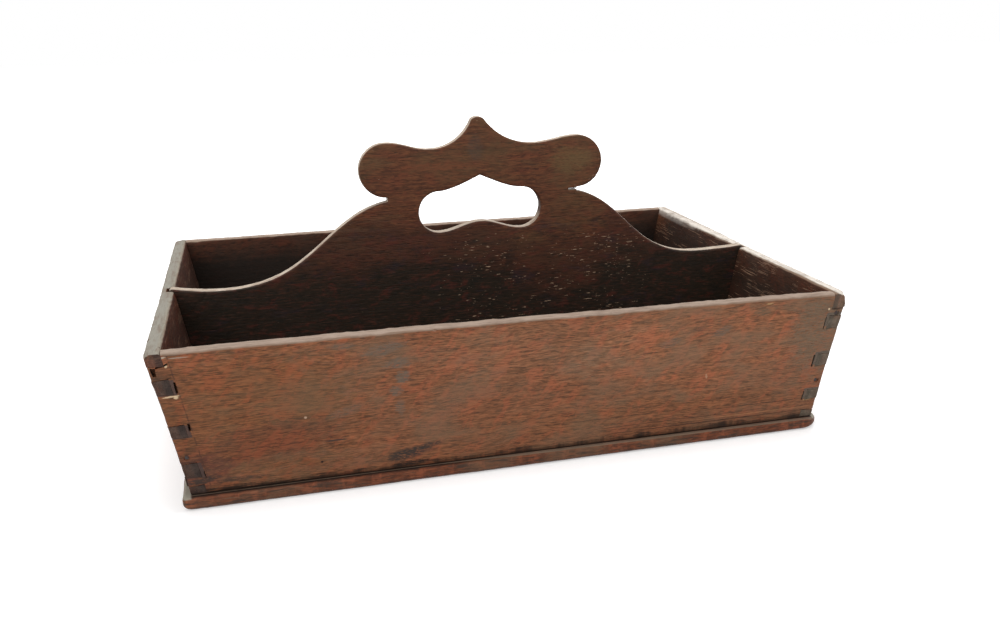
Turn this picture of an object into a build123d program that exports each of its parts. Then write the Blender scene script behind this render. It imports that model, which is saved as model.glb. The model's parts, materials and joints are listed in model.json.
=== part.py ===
from build123d import *
from math import cos, radians, tan
import os

# An oak knife tray: four splayed, dovetailed walls on a base board with a rounded edge, and a divider that
# rises into a shaped handle. Millimetres, +Z up, the origin under the middle of the base board, front at -Y.

# Walls, measured outside
rim_length = 400.0  # along X at the rim
rim_width = 274.0  # along Y at the rim
wall_height = 82.0  # straight up from the base board to the rim
wall_thickness = 8.4  # square to each board
end_splay = 9.8  # degrees that the two end boards lean out
side_splay = 4.4  # degrees that the front and back boards lean out
rim_rounding = 1.3  # wear along both arrises of the rim
corner_rounding = 1.2  # wear down the four outer corners

# Base board
base_thickness = 8.0
base_margin = 4.5  # how far it stands out past the feet of the walls
base_lower_round = 4.4
base_upper_round = 1.8

# Dovetails: pins on the end boards, tails on the front and back boards
pin_rises = (15.0, 38.0, 63.5)  # middle of each full pin above the base board
pin_inner_height = 8.6  # where a pin leaves its board
pin_outer_height = 6.4  # at the outer corner
rim_pin_height = 9.5  # half pin under the rim, at its inner side
foot_pin_height = 5.0  # half pin at the foot, at its inner side
pin_clearance = 0.15  # between a pin and the tails beside it
socket_overcut = 0.8  # how far the sockets were sawn past the pins

# Divider
divider_thickness = 8.0
divider_offset = -12.0  # its middle, towards the front from the middle of the tray
divider_entry = 3.2  # how far each end reaches into its housing
housing_depth = 5.0
housing_clearance = 0.15  # beside the divider, each side
divider_rounding = 1.0  # wear along its shaped edges
end_tip_rise = 1.6  # above the rim, where the divider meets the end boards
end_tip_rounding = 1.8

# Shaped edge of the divider, sawn by eye, so its left and right halves differ a little. Reaches are from the
# middle of the peak along X, heights are above the rim.
handle_offset = 3.2  # the middle of the peak, to the right of the middle of the tray
peak_height = 98.2
peak_half_width = 4.0
peak_drop = 1.4  # from the top of the peak to where its flanks begin
lobe_height = 66.8
lobe_radius = 17.2
lobe_top_pull = 12.0  # how long the top of a lobe, or the valley beside it, stays level
notch_height = 47.2
left_valley_reach = 31.2
left_valley_height = 79.0
left_lobe_reach = 60.0
left_shoulder_pull = 41.0  # how far the shoulder runs on before it falls away
left_dip_pull = 56.0  # how early the sweep eases into the dip
left_dip_inset = 29.5  # from the inner face of the end board to the lowest point of the sweep
left_dip_height = -2.4
right_valley_reach = 36.8
right_valley_height = 80.2
right_lobe_reach = 67.0
right_shoulder_pull = 34.0
right_dip_pull = 48.0
right_dip_inset = 32.5
right_dip_height = -0.2
shoulder_slope = 0.19
saw_kerf = 0.8  # the saw ran on into the wood at the right notch
saw_overrun = 6.0

# Hand hole, with its reaches from its own middle
hole_offset = 4.0  # its middle, to the right of the middle of the tray
hole_end_reach = 27.5
hole_end_height = 38.4
hole_end_radius = 13.4
hole_top_pull = 8.0
cusp_height = 60.9
cusp_pull = 10.0
cusp_slope = 0.42
hump_height = 30.9
hump_pull = 10.5

# Nails, all hand-made with tapering square shanks
base_nail_length = 25.0
base_nail_shank = 2.2
base_nail_head = 4.4
corner_nail_length = 19.0
corner_nail_shank = 1.6
corner_nail_head = 2.6
nail_point = 0.8
nail_head_taper = 1.0  # depth over which the head narrows to the shank
nail_recess = 0.4  # heads are punched this far below the wood
side_nail_count = 5  # along the front wall, and along the back wall
end_nail_count = 3
divider_nail_count = 3
nail_row_margin = 32.0  # from the outside of the foot to the first nail
front_left_nail_rises = (22.0,)  # corner nails, above the base board
front_right_nail_rises = (25.0, 69.5)
back_nail_rises = (22.0,)

# Derived sizes
rim_z = base_thickness + wall_height
end_lean = tan(radians(end_splay))
side_lean = tan(radians(side_splay))
end_run = wall_thickness / cos(radians(end_splay))  # an end board's thickness, measured level
side_run = wall_thickness / cos(radians(side_splay))
foot_half_length = rim_length / 2 - wall_height * end_lean
foot_half_width = rim_width / 2 - wall_height * side_lean
pin_taper = (pin_inner_height - pin_outer_height) / 2
past = wall_thickness  # how far cutting solids run past what they cut


def half_length(z):
    """Half the outside length of the walls at the height z."""
    return rim_length / 2 - (rim_z - z) * end_lean


def half_width(z):
    """Half the outside width of the walls at the height z."""
    return rim_width / 2 - (rim_z - z) * side_lean


def band(half_size, outer, inner, low, high):
    """Corners of a leaning board's section, between two level distances in from the wall's outer face."""
    return [
        (half_size(low) - outer, low),
        (half_size(high) - outer, high),
        (half_size(high) - inner, high),
        (half_size(low) - inner, low),
    ]


def pin_outlines(grow, reach):
    """Corners of every pin on the right, seen from the front, grown by a gap and run inwards to a reach."""
    spans = [(base_thickness + rise - pin_inner_height / 2, base_thickness + rise + pin_inner_height / 2)
             for rise in pin_rises]
    spans.append((rim_z - rim_pin_height, rim_z + past))
    spans.append((base_thickness - past, base_thickness + foot_pin_height))
    for low, high in spans:
        slope = pin_taper / end_run
        low_rise = 0 if low < base_thickness else slope
        high_fall = 0 if high > rim_z else slope
        yield [
            (half_length(low) - reach, low - grow + low_rise * (end_run - reach)),
            (half_length(low) + past, low - grow + low_rise * (end_run + past)),
            (half_length(high) + past, high + grow - high_fall * (end_run + past)),
            (half_length(high) - reach, high + grow - high_fall * (end_run - reach)),
        ]


def row(count, half_span):
    """Evenly spaced places from one margin to the other."""
    first = half_span - nail_row_margin
    return [first * (2 * step / (count - 1) - 1) for step in range(count)]


def make_nail(length, shank, head, punched=0):
    """A nail, its head at the origin and its point up; or the hole for it, with the punch mark below."""
    with BuildPart() as nail:
        if punched:
            with BuildSketch():
                Rectangle(head, head)
            extrude(amount=-punched)
        with BuildSketch():
            Rectangle(head, head)
        with BuildSketch(Plane.XY.offset(nail_head_taper)):
            Rectangle(shank, shank)
        loft()
        with BuildSketch(Plane.XY.offset(nail_head_taper)):
            Rectangle(shank, shank)
        with BuildSketch(Plane.XY.offset(length)):
            Rectangle(nail_point, nail_point)
        loft()
    return nail.part


def finish(piece, name):
    """Labels a piece and writes its file."""
    piece.part.label = name
    export_step(piece.part, f"parts/{name}.step")


os.makedirs("parts", exist_ok=True)

# Nails
base_nail = make_nail(base_nail_length, base_nail_shank, base_nail_head)
base_nail_hole = make_nail(base_nail_length, base_nail_shank, base_nail_head, 2 * nail_recess)
corner_nail = make_nail(corner_nail_length, corner_nail_shank, corner_nail_head)
corner_nail_hole = make_nail(corner_nail_length, corner_nail_shank, corner_nail_head, 2 * nail_recess)

wall_foot_middle_x = foot_half_length - end_run / 2
wall_foot_middle_y = foot_half_width - side_run / 2
base_nail_x = wall_foot_middle_x - (base_thickness - nail_recess) * end_lean
base_nail_y = wall_foot_middle_y - (base_thickness - nail_recess) * side_lean

base_nail_places = []
for side in (-1, 1):
    for x in row(side_nail_count, foot_half_length):
        base_nail_places.append(Location((x, side * base_nail_y, nail_recess), (-side * side_splay, 0, 0)))
    for y in row(end_nail_count, foot_half_width):
        base_nail_places.append(Location((side * base_nail_x, y, nail_recess), (0, side * end_splay, 0)))
for x in row(divider_nail_count, foot_half_length):
    base_nail_places.append(Location((x, divider_offset, nail_recess)))

with BuildPart() as base_nails:
    with Locations(base_nail_places):
        add(base_nail)

with BuildPart() as base_nail_holes:
    with Locations(base_nail_places):
        add(base_nail_hole)

corner_nail_places = []
for side, depth, rises in (
    (-1, -1, front_left_nail_rises),
    (1, -1, front_right_nail_rises),
    (-1, 1, back_nail_rises),
    (1, 1, back_nail_rises),
):
    for rise in rises:
        z = base_thickness + rise
        x = side * (half_length(z) - end_run / 2)
        y = depth * (half_width(z) - nail_recess)
        corner_nail_places.append(Location((x, y, z), (depth * 90, 0, 0)))

with BuildPart() as corner_nails:
    with Locations(corner_nail_places):
        add(corner_nail)

with BuildPart() as corner_nail_holes:
    with Locations(corner_nail_places):
        add(corner_nail_hole)

# The four walls as one ring, worn round along the rim and down the corners, from which each board is cut
with BuildPart() as wall_ring:
    with BuildSketch(Plane.XY.offset(base_thickness)):
        Rectangle(2 * foot_half_length, 2 * foot_half_width)
    with BuildSketch(Plane.XY.offset(rim_z)):
        Rectangle(rim_length, rim_width)
    loft()
    fillet(wall_ring.edges().filter_by(Axis.Z, reverse=True).group_by(Axis.Z)[1], corner_rounding)
    with BuildSketch(Plane.XY.offset(base_thickness)):
        Rectangle(2 * (foot_half_length - end_run), 2 * (foot_half_width - side_run))
    with BuildSketch(Plane.XY.offset(rim_z)):
        Rectangle(rim_length - 2 * end_run, rim_width - 2 * side_run)
    loft(mode=Mode.SUBTRACT)
    fillet(wall_ring.faces().sort_by(Axis.Z)[-1].edges(), rim_rounding)

# What the tails fill at the front and back of each end board, with the pins left out
with BuildPart() as tail_space:
    with BuildSketch(Plane.YZ):
        with BuildLine():
            Polyline(*band(half_width, -past, side_run, base_thickness - past, rim_z + past), close=True)
        make_face()
        mirror(about=Plane.YZ)
    extrude(amount=rim_length, both=True)
    with BuildSketch(Plane.XZ):
        for corners in pin_outlines(-pin_clearance, end_run + past):
            with BuildLine():
                Polyline(*corners, close=True)
            make_face()
        mirror(about=Plane.YZ)
    extrude(amount=rim_width, both=True, mode=Mode.SUBTRACT)


def make_side_board(side):
    """A front or back board, side -1 or 1, with a socket for every pin."""
    with BuildPart() as board:
        add(wall_ring.part)
        with BuildSketch(Plane.YZ):
            with BuildLine():
                Polyline(*band(half_width, -past, side_run, base_thickness - past, rim_z + past), close=True)
            make_face()
            if side < 0:
                mirror(about=Plane.YZ, mode=Mode.REPLACE)
        extrude(amount=rim_length, both=True, mode=Mode.INTERSECT)
        with BuildSketch(Plane.XZ):
            for corners in pin_outlines(0, end_run + socket_overcut):
                with BuildLine():
                    Polyline(*corners, close=True)
                make_face()
            mirror(about=Plane.YZ)
        extrude(amount=rim_width, both=True, mode=Mode.SUBTRACT)
        add(base_nail_holes.part, mode=Mode.SUBTRACT)
        add(corner_nail_holes.part, mode=Mode.SUBTRACT)
    return board


def make_end_board(side):
    """A left or right end board, side -1 or 1, with its pins and the housing for the divider."""
    with BuildPart() as board:
        add(wall_ring.part)
        with BuildSketch(Plane.XZ):
            with BuildLine():
                Polyline(*band(half_length, -past, end_run, base_thickness - past, rim_z + past), close=True)
            make_face()
            if side < 0:
                mirror(about=Plane.YZ, mode=Mode.REPLACE)
        extrude(amount=rim_width, both=True, mode=Mode.INTERSECT)
        add(tail_space.part, mode=Mode.SUBTRACT)
        with BuildSketch(Plane.XZ.offset(-divider_offset)):
            with BuildLine():
                Polyline(*band(half_length, end_run - housing_depth, end_run + past,
                               base_thickness - past, rim_z + past), close=True)
            make_face()
            if side < 0:
                mirror(about=Plane.YZ, mode=Mode.REPLACE)
        extrude(amount=divider_thickness / 2 + housing_clearance, both=True, mode=Mode.SUBTRACT)
        add(base_nail_holes.part, mode=Mode.SUBTRACT)
        add(corner_nail_holes.part, mode=Mode.SUBTRACT)
    return board


front_board = make_side_board(-1)
back_board = make_side_board(1)
left_end_board = make_end_board(-1)
right_end_board = make_end_board(1)

# Base board
with BuildPart() as base_board:
    with BuildSketch():
        Rectangle(2 * (foot_half_length + base_margin), 2 * (foot_half_width + base_margin))
    extrude(amount=base_thickness)
    fillet(base_board.faces().sort_by(Axis.Z)[0].edges(), base_lower_round)
    fillet(base_board.faces().sort_by(Axis.Z)[-1].edges(), base_upper_round)
    add(base_nail_holes.part, mode=Mode.SUBTRACT)


def handle_point(side, reach, height):
    """A point of the shaped edge, side -1 or 1, from its reach and its height above the rim."""
    return (handle_offset + side * reach, rim_z + height)


def hole_point(side, reach, height):
    """A point of the hand hole, the same way."""
    return (hole_offset + side * reach, rim_z + height)


def shaped_half(
    side,
    valley_reach,
    valley_height,
    lobe_reach,
    shoulder_pull,
    dip_pull,
    dip_inset,
    dip_height,
):
    """Draws the shaped edge from the flank of the peak down to the foot; returns its first and last point."""
    flank = handle_point(side, peak_half_width, peak_height - peak_drop)
    valley = handle_point(side, valley_reach, valley_height)
    valley_pull = handle_point(side, valley_reach + lobe_top_pull, valley_height)
    lobe_pull = handle_point(side, lobe_reach - lobe_top_pull, lobe_height + lobe_radius)
    lobe_top = handle_point(side, lobe_reach, lobe_height + lobe_radius)
    lobe_side = handle_point(side, lobe_reach + lobe_radius, lobe_height)
    lobe_foot = handle_point(side, lobe_reach, lobe_height - lobe_radius)
    notch = handle_point(side, lobe_reach, notch_height)
    shoulder = handle_point(side, lobe_reach + shoulder_pull, notch_height - shoulder_pull * shoulder_slope)
    dip_x = rim_length / 2 - end_run - dip_inset
    dip = (side * dip_x, rim_z + dip_height)
    dip_start = (side * (dip_x - dip_pull), rim_z + dip_height)
    tip_z = rim_z + end_tip_rise
    tip = (side * (half_length(tip_z) - end_run + divider_entry), tip_z)
    foot = (side * (half_length(base_thickness) - end_run + divider_entry), base_thickness)
    TangentArc(valley, flank, tangent=(-side, 0))
    Bezier(valley, valley_pull, lobe_pull, lobe_top)
    ThreePointArc(lobe_top, lobe_side, lobe_foot)
    Line(lobe_foot, notch)
    Bezier(notch, shoulder, dip_start, dip)
    TangentArc(dip, tip, tangent=(side, 0))
    Line(tip, foot)
    return flank, foot


def hand_hole_half(side, cusp, hump):
    """Draws one half of the hand hole, from the cusp above to the hump below."""
    below_cusp = hole_point(side, cusp_pull, cusp_height - cusp_pull * cusp_slope)
    before_end = hole_point(side, hole_end_reach - hole_top_pull, hole_end_height + hole_end_radius)
    top = hole_point(side, hole_end_reach, hole_end_height + hole_end_radius)
    outermost = hole_point(side, hole_end_reach + hole_end_radius, hole_end_height)
    low = hole_point(side, hole_end_reach, hole_end_height - hole_end_radius)
    after_low = hole_point(side, hole_end_reach - hump_pull, hole_end_height - hole_end_radius)
    beside_hump = hole_point(side, hump_pull, hump_height)
    Bezier(cusp, below_cusp, before_end, top)
    ThreePointArc(top, outermost, low)
    Bezier(low, after_low, beside_hump, hump)


with BuildPart() as divider:
    with BuildSketch(Plane.XZ.offset(-divider_offset)) as divider_shape:
        with BuildLine():
            left_flank, left_foot = shaped_half(
                -1,
                left_valley_reach,
                left_valley_height,
                left_lobe_reach,
                left_shoulder_pull,
                left_dip_pull,
                left_dip_inset,
                left_dip_height,
            )
            right_flank, right_foot = shaped_half(
                1,
                right_valley_reach,
                right_valley_height,
                right_lobe_reach,
                right_shoulder_pull,
                right_dip_pull,
                right_dip_inset,
                right_dip_height,
            )
            ThreePointArc(left_flank, handle_point(1, 0, peak_height), right_flank)
            Line(left_foot, right_foot)
        make_face()
        along = divider_shape.vertices().sort_by(Axis.X)
        fillet((along[0], along[-1]), end_tip_rounding)
        with BuildLine():
            cusp = hole_point(1, 0, cusp_height)
            hump = hole_point(1, 0, hump_height)
            hand_hole_half(-1, cusp, hump)
            hand_hole_half(1, cusp, hump)
        make_face(mode=Mode.SUBTRACT)
    extrude(amount=divider_thickness / 2, both=True)
    shaped_edges = divider.faces().filter_by(Axis.Y).edges().filter_by(GeomType.LINE, reverse=True)
    fillet(shaped_edges, divider_rounding)
    with BuildSketch(Plane.XZ.offset(-divider_offset)):
        with Locations(handle_point(1, right_lobe_reach, (lobe_height - lobe_radius + notch_height) / 2)):
            Rectangle(2 * saw_overrun, saw_kerf)
    extrude(amount=divider_thickness, both=True, mode=Mode.SUBTRACT)
    add(base_nail_holes.part, mode=Mode.SUBTRACT)

finish(base_board, "base_board")
finish(front_board, "front_board")
finish(back_board, "back_board")
finish(left_end_board, "left_end_board")
finish(right_end_board, "right_end_board")
finish(divider, "divider")
finish(base_nails, "base_nails")
finish(corner_nails, "corner_nails")
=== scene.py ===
"""Dresses an antique oak knife tray: four dovetailed walls, a base board, a divider with a shaped handle, and nails.

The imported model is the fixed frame. Each board is rebuilt here as a worn mesh in the place of its node, with a solid
procedural oak finish, and the iron nails are forged heads on their own shanks. Lengths are in metres.
"""

import json
import logging
import math
from dataclasses import dataclass
from enum import Enum
from typing import Any, Callable, Sequence

import bmesh
import bpy
import numpy as np
from mathutils import Matrix, Vector, noise

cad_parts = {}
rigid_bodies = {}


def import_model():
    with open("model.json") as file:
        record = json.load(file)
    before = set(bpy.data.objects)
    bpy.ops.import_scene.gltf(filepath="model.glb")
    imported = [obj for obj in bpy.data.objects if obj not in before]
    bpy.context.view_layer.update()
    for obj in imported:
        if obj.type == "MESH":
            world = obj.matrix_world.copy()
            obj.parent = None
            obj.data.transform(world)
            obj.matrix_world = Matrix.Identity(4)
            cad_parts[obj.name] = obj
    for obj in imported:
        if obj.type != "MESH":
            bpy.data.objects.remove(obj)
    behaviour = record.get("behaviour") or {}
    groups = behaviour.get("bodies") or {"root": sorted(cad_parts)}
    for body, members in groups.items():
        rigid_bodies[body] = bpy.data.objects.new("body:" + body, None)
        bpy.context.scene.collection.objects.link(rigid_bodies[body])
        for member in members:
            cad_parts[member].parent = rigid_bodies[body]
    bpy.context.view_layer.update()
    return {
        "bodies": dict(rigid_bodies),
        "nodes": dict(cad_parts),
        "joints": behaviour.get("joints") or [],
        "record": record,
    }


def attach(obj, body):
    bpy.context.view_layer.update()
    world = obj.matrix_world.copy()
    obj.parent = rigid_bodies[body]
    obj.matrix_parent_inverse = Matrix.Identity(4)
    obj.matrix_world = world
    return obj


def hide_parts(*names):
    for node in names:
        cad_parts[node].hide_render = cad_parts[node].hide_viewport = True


MM = 0.001
TO_MM = 1000.0
CASE = "root"
log = logging.getLogger("knife_tray")
Colour = tuple[float, float, float]


def linear(red: int, green: int, blue: int) -> Colour:
    """Turns an 8-bit display colour into the linear colour that shaders use.

    Args:
        red, green, blue: The channels, 0 to 255.

    Returns:
        The three linear channels.
    """
    return tuple(c / 12.92 if c <= 0.04045 else ((c + 0.055) / 1.055) ** 2.4 for c in (red / 255, green / 255, blue / 255))


class Wire:
    """An output socket that takes part in expressions, with a node added for each operation."""

    def __init__(self, graph: "Graph", socket: bpy.types.NodeSocket) -> None:
        """Keeps the graph that the socket belongs to."""
        self.graph = graph
        self.socket = socket

    def _join(self, operation: str, first: Any, second: Any) -> "Wire":
        """Adds the node for one operation on numbers, or on vectors where either side is one.

        Args:
            operation: The name of the operation, which both kinds of node share.
            first, second: Wires or numbers, in order.

        Returns:
            The result.
        """
        vectors = [isinstance(v, Wire) and v.socket.type == "VECTOR" for v in (first, second)]
        if not any(vectors):
            return self.graph.maths(operation, first, second)
        if all(vectors) or isinstance(second, tuple):
            return self.graph.vector_maths(operation, first, second)
        vector, number = (first, second) if vectors[0] else (second, first)
        if operation == "MULTIPLY":
            node = self.graph.add("ShaderNodeVectorMath", {"operation": "SCALE"}, {0: vector, "Scale": number})
            return Wire(self.graph, node.outputs[0])
        raise TypeError(f"a vector and a number don't {operation.lower()}")

    def __add__(self, other: Any) -> "Wire":
        """Sum."""
        return self._join("ADD", self, other)

    __radd__ = __add__

    def __sub__(self, other: Any) -> "Wire":
        """Difference."""
        return self._join("SUBTRACT", self, other)

    def __rsub__(self, other: Any) -> "Wire":
        """Difference, from the other side."""
        return self._join("SUBTRACT", other, self)

    def __mul__(self, other: Any) -> "Wire":
        """Product."""
        return self._join("MULTIPLY", self, other)

    __rmul__ = __mul__

    def __truediv__(self, other: Any) -> "Wire":
        """Quotient."""
        return self._join("DIVIDE", self, other)

    def __pow__(self, other: Any) -> "Wire":
        """Power."""
        return self._join("POWER", self, other)

    def __abs__(self) -> "Wire":
        """Size without sign."""
        return self.graph.maths("ABSOLUTE", self)

    def least(self, other: Any) -> "Wire":
        """The smaller of two."""
        return self.graph.maths("MINIMUM", self, other)

    def most(self, other: Any) -> "Wire":
        """The larger of two."""
        return self.graph.maths("MAXIMUM", self, other)

    def fraction(self) -> "Wire":
        """What is over the whole number."""
        return self.graph.maths("FRACT", self)

    def ramp(self, low: Any, high: Any, most: float = 1.0) -> "Wire":
        """A soft step.

        Args:
            low: Where the step is 0.
            high: Where the step is at its most, which may be less than low.
            most: What it rises to.

        Returns:
            A value from 0 to most.
        """
        values = {"Value": self, "From Min": low, "From Max": high, "To Max": most}
        node = self.graph.add("ShaderNodeMapRange", {"interpolation_type": "SMOOTHSTEP"}, values)
        return Wire(self.graph, node.outputs[0])

    def parts(self) -> tuple["Wire", "Wire", "Wire"]:
        """The three components of a vector."""
        node = self.graph.add("ShaderNodeSeparateXYZ", {}, {0: self})
        return tuple(Wire(self.graph, output) for output in node.outputs)


class Graph:
    """The nodes of one material or world, added by expressions."""

    def __init__(self, owner: bpy.types.Material | bpy.types.World) -> None:
        """Empties the owner's tree."""
        self.owner = owner
        owner.use_nodes = True
        self.tree = owner.node_tree
        self.tree.nodes.clear()

    @classmethod
    def material(cls, name: str) -> "Graph":
        """Starts an empty material of that name."""
        return cls(bpy.data.materials.new(name))

    def add(self, kind: str, settings: dict[str, Any], inputs: dict[Any, Any]) -> bpy.types.Node:
        """Adds one node.

        Args:
            kind: The node's type.
            settings: Its own properties, which are set first.
            inputs: Values or wires for its sockets, by name or number.

        Returns:
            The node.
        """
        node = self.tree.nodes.new(kind)
        for key, value in settings.items():
            setattr(node, key, value)
        for key, value in inputs.items():
            if isinstance(value, Wire):
                self.tree.links.new(value.socket, node.inputs[key])
            else:
                node.inputs[key].default_value = value
        return node

    def maths(self, operation: str, *values: Any) -> Wire:
        """An operation on numbers.

        Args:
            operation: The Math node's operation.
            values: Its inputs, in order.

        Returns:
            The result.
        """
        node = self.add("ShaderNodeMath", {"operation": operation}, dict(enumerate(values)))
        return Wire(self, node.outputs[0])

    def vector_maths(self, operation: str, *values: Any) -> Wire:
        """An operation on vectors.

        Args:
            operation: The Vector Math node's operation.
            values: Its inputs, in order.

        Returns:
            The result, as a number where the operation gives one.
        """
        node = self.add("ShaderNodeVectorMath", {"operation": operation}, dict(enumerate(values)))
        return Wire(self, node.outputs["Value" if operation in ("DOT_PRODUCT", "LENGTH") else "Vector"])

    def place(self) -> Wire:
        """The place on the object, in millimetres."""
        node = self.add("ShaderNodeTexCoord", {}, {})
        return Wire(self, node.outputs["Object"]) * TO_MM

    def seen(self) -> Wire:
        """1 for what the camera, a mirror or a glass sees, 0 for what lights."""
        path = self.add("ShaderNodeLightPath", {}, {})
        rays = [Wire(self, path.outputs[f"Is {kind} Ray"]) for kind in ("Camera", "Glossy", "Transmission")]
        return rays[0].most(rays[1]).most(rays[2])

    def shader(self, kind: str, inputs: dict[Any, Any]) -> Wire:
        """The output of a shader node."""
        return Wire(self, self.add(kind, {}, inputs).outputs[0])

    def normal(self) -> Wire:
        """The way the surface faces."""
        return Wire(self, self.add("ShaderNodeNewGeometry", {}, {}).outputs["Normal"])

    def vector(self, x: Any, y: Any, z: Any) -> Wire:
        """A vector from its components."""
        return Wire(self, self.add("ShaderNodeCombineXYZ", {}, {0: x, 1: y, 2: z}).outputs[0])

    def cloud(self, at: Wire, detail: float = 3.0, roughness: float = 0.55, distortion: float = 0.0) -> Wire:
        """Soft noise of about unit size, from 0 to 1, with its middle near a half.

        Args:
            at: Where to read it.
            detail: How many finer layers it has.
            roughness: How strong these are.
            distortion: How far it is stirred.

        Returns:
            The value.
        """
        inputs = {"Vector": at, "Scale": 1.0, "Detail": detail, "Roughness": roughness, "Distortion": distortion}
        return Wire(self, self.add("ShaderNodeTexNoise", {}, inputs).outputs[0])

    def blend(self, share: Any, below: Any, above: Any, way: str = "MIX") -> Wire:
        """Lays one colour over another.

        Args:
            share: How much of the upper colour shows.
            below, above: Colours or wires.
            way: The blend type.

        Returns:
            The colour.
        """
        values = {
            "Factor": share,
            6: below if isinstance(below, Wire) else (*below, 1.0),
            7: above if isinstance(above, Wire) else (*above, 1.0),
        }
        node = self.add("ShaderNodeMix", {"data_type": "RGBA", "blend_type": way, "clamp_factor": True}, values)
        return Wire(self, node.outputs[2])

    def finish(self, colour: Wire, roughness: Any, height: Wire, depth: float, shine: float) -> bpy.types.Material:
        """Closes the material with one surface shader.

        Args:
            colour: The base colour.
            roughness: A wire or a number.
            height: The relief, from 0 to 1.
            depth: How deep the relief is, in metres.
            shine: The specular level.

        Returns:
            The finished material.
        """
        bump = self.add("ShaderNodeBump", {}, {"Strength": 1.0, "Distance": depth, "Height": height})
        inputs = {"Base Color": colour, "Roughness": roughness, "Normal": Wire(self, bump.outputs[0])}
        surface = self.add("ShaderNodeBsdfPrincipled", {}, inputs)
        surface.inputs["Specular IOR Level"].default_value = shine
        self.add("ShaderNodeOutputMaterial", {"target": "ALL"}, {0: Wire(self, surface.outputs[0])})
        return self.owner


class Lie(Enum):
    """Which wall a board is, as the way that it faces."""

    FRONT = (0, -1)
    BACK = (0, 1)
    LEFT = (-1, 0)
    RIGHT = (1, 0)

    @property
    def is_end(self) -> bool:
        """Whether it is one of the two short walls."""
        return self.value[0] != 0


@dataclass(frozen=True)
class TraySizes:
    """The tray's driving sizes, measured outside."""

    rim_length: float = 400 * MM
    rim_width: float = 274 * MM
    wall_height: float = 82 * MM
    wall_thickness: float = 8.4 * MM
    end_splay: float = math.radians(9.8)
    side_splay: float = math.radians(4.4)
    base_thickness: float = 8 * MM
    base_margin: float = 4.5 * MM
    divider_thickness: float = 8 * MM
    divider_offset: float = -12 * MM

    @property
    def rim_z(self) -> float:
        """The height of the rim."""
        return self.base_thickness + self.wall_height

    def half(self, end: bool, z: Any) -> Any:
        """Half the outside size at a height.

        Args:
            end: True for the way that the two end boards face, which is along X.
            z: A height, or an array of heights.

        Returns:
            The half size, as what z is.
        """
        at_rim = self.rim_length if end else self.rim_width
        splay = self.end_splay if end else self.side_splay
        return at_rim / 2 - (self.rim_z - z) * math.tan(splay)

    def run(self, end: bool) -> float:
        """A wall's thickness, measured level."""
        return self.wall_thickness / math.cos(self.end_splay if end else self.side_splay)


SIZES = TraySizes()


@dataclass(frozen=True)
class Wear:
    """How a board has worn: amounts in metres, and where its noise is read."""

    warp: float = 0.30 * MM
    warp_length: float = 90 * MM
    arris: float = 0.55 * MM
    arris_reach: float = 1.9 * MM
    arris_length: float = 16 * MM
    grit: float = 0.05 * MM
    grit_length: float = 2.2 * MM
    seed: float = 0.0

    def apply(self, piece: bpy.types.Object, arris_gap: Callable[[np.ndarray], np.ndarray]) -> None:
        """Moves the piece's points: a slow warp, worn arrises and a little grit.

        Args:
            piece: The piece, whose mesh changes.
            arris_gap: Gives each point's distance to the nearest arris that wears.
        """
        mesh = piece.data
        points, normals = read_points(mesh)
        near = np.exp(-((arris_gap(points) / self.arris_reach) ** 2))
        shift = np.zeros(len(points))
        for i, point in enumerate(points):
            at = Vector(point) + Vector((self.seed, 2 * self.seed, -self.seed))
            slow = noise.noise(at / self.warp_length)
            shift[i] = self.warp * slow
            if near[i] > 0.02:
                bite = 0.4 + 0.7 * noise.noise(at / self.arris_length) + 0.7 * noise.noise(at / (self.arris_length / 5))
                shift[i] -= self.arris * near[i] * max(0.0, bite)
                shift[i] += self.grit * noise.noise(at / self.grit_length)
        write_points(mesh, points + normals * shift[:, None])


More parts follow.
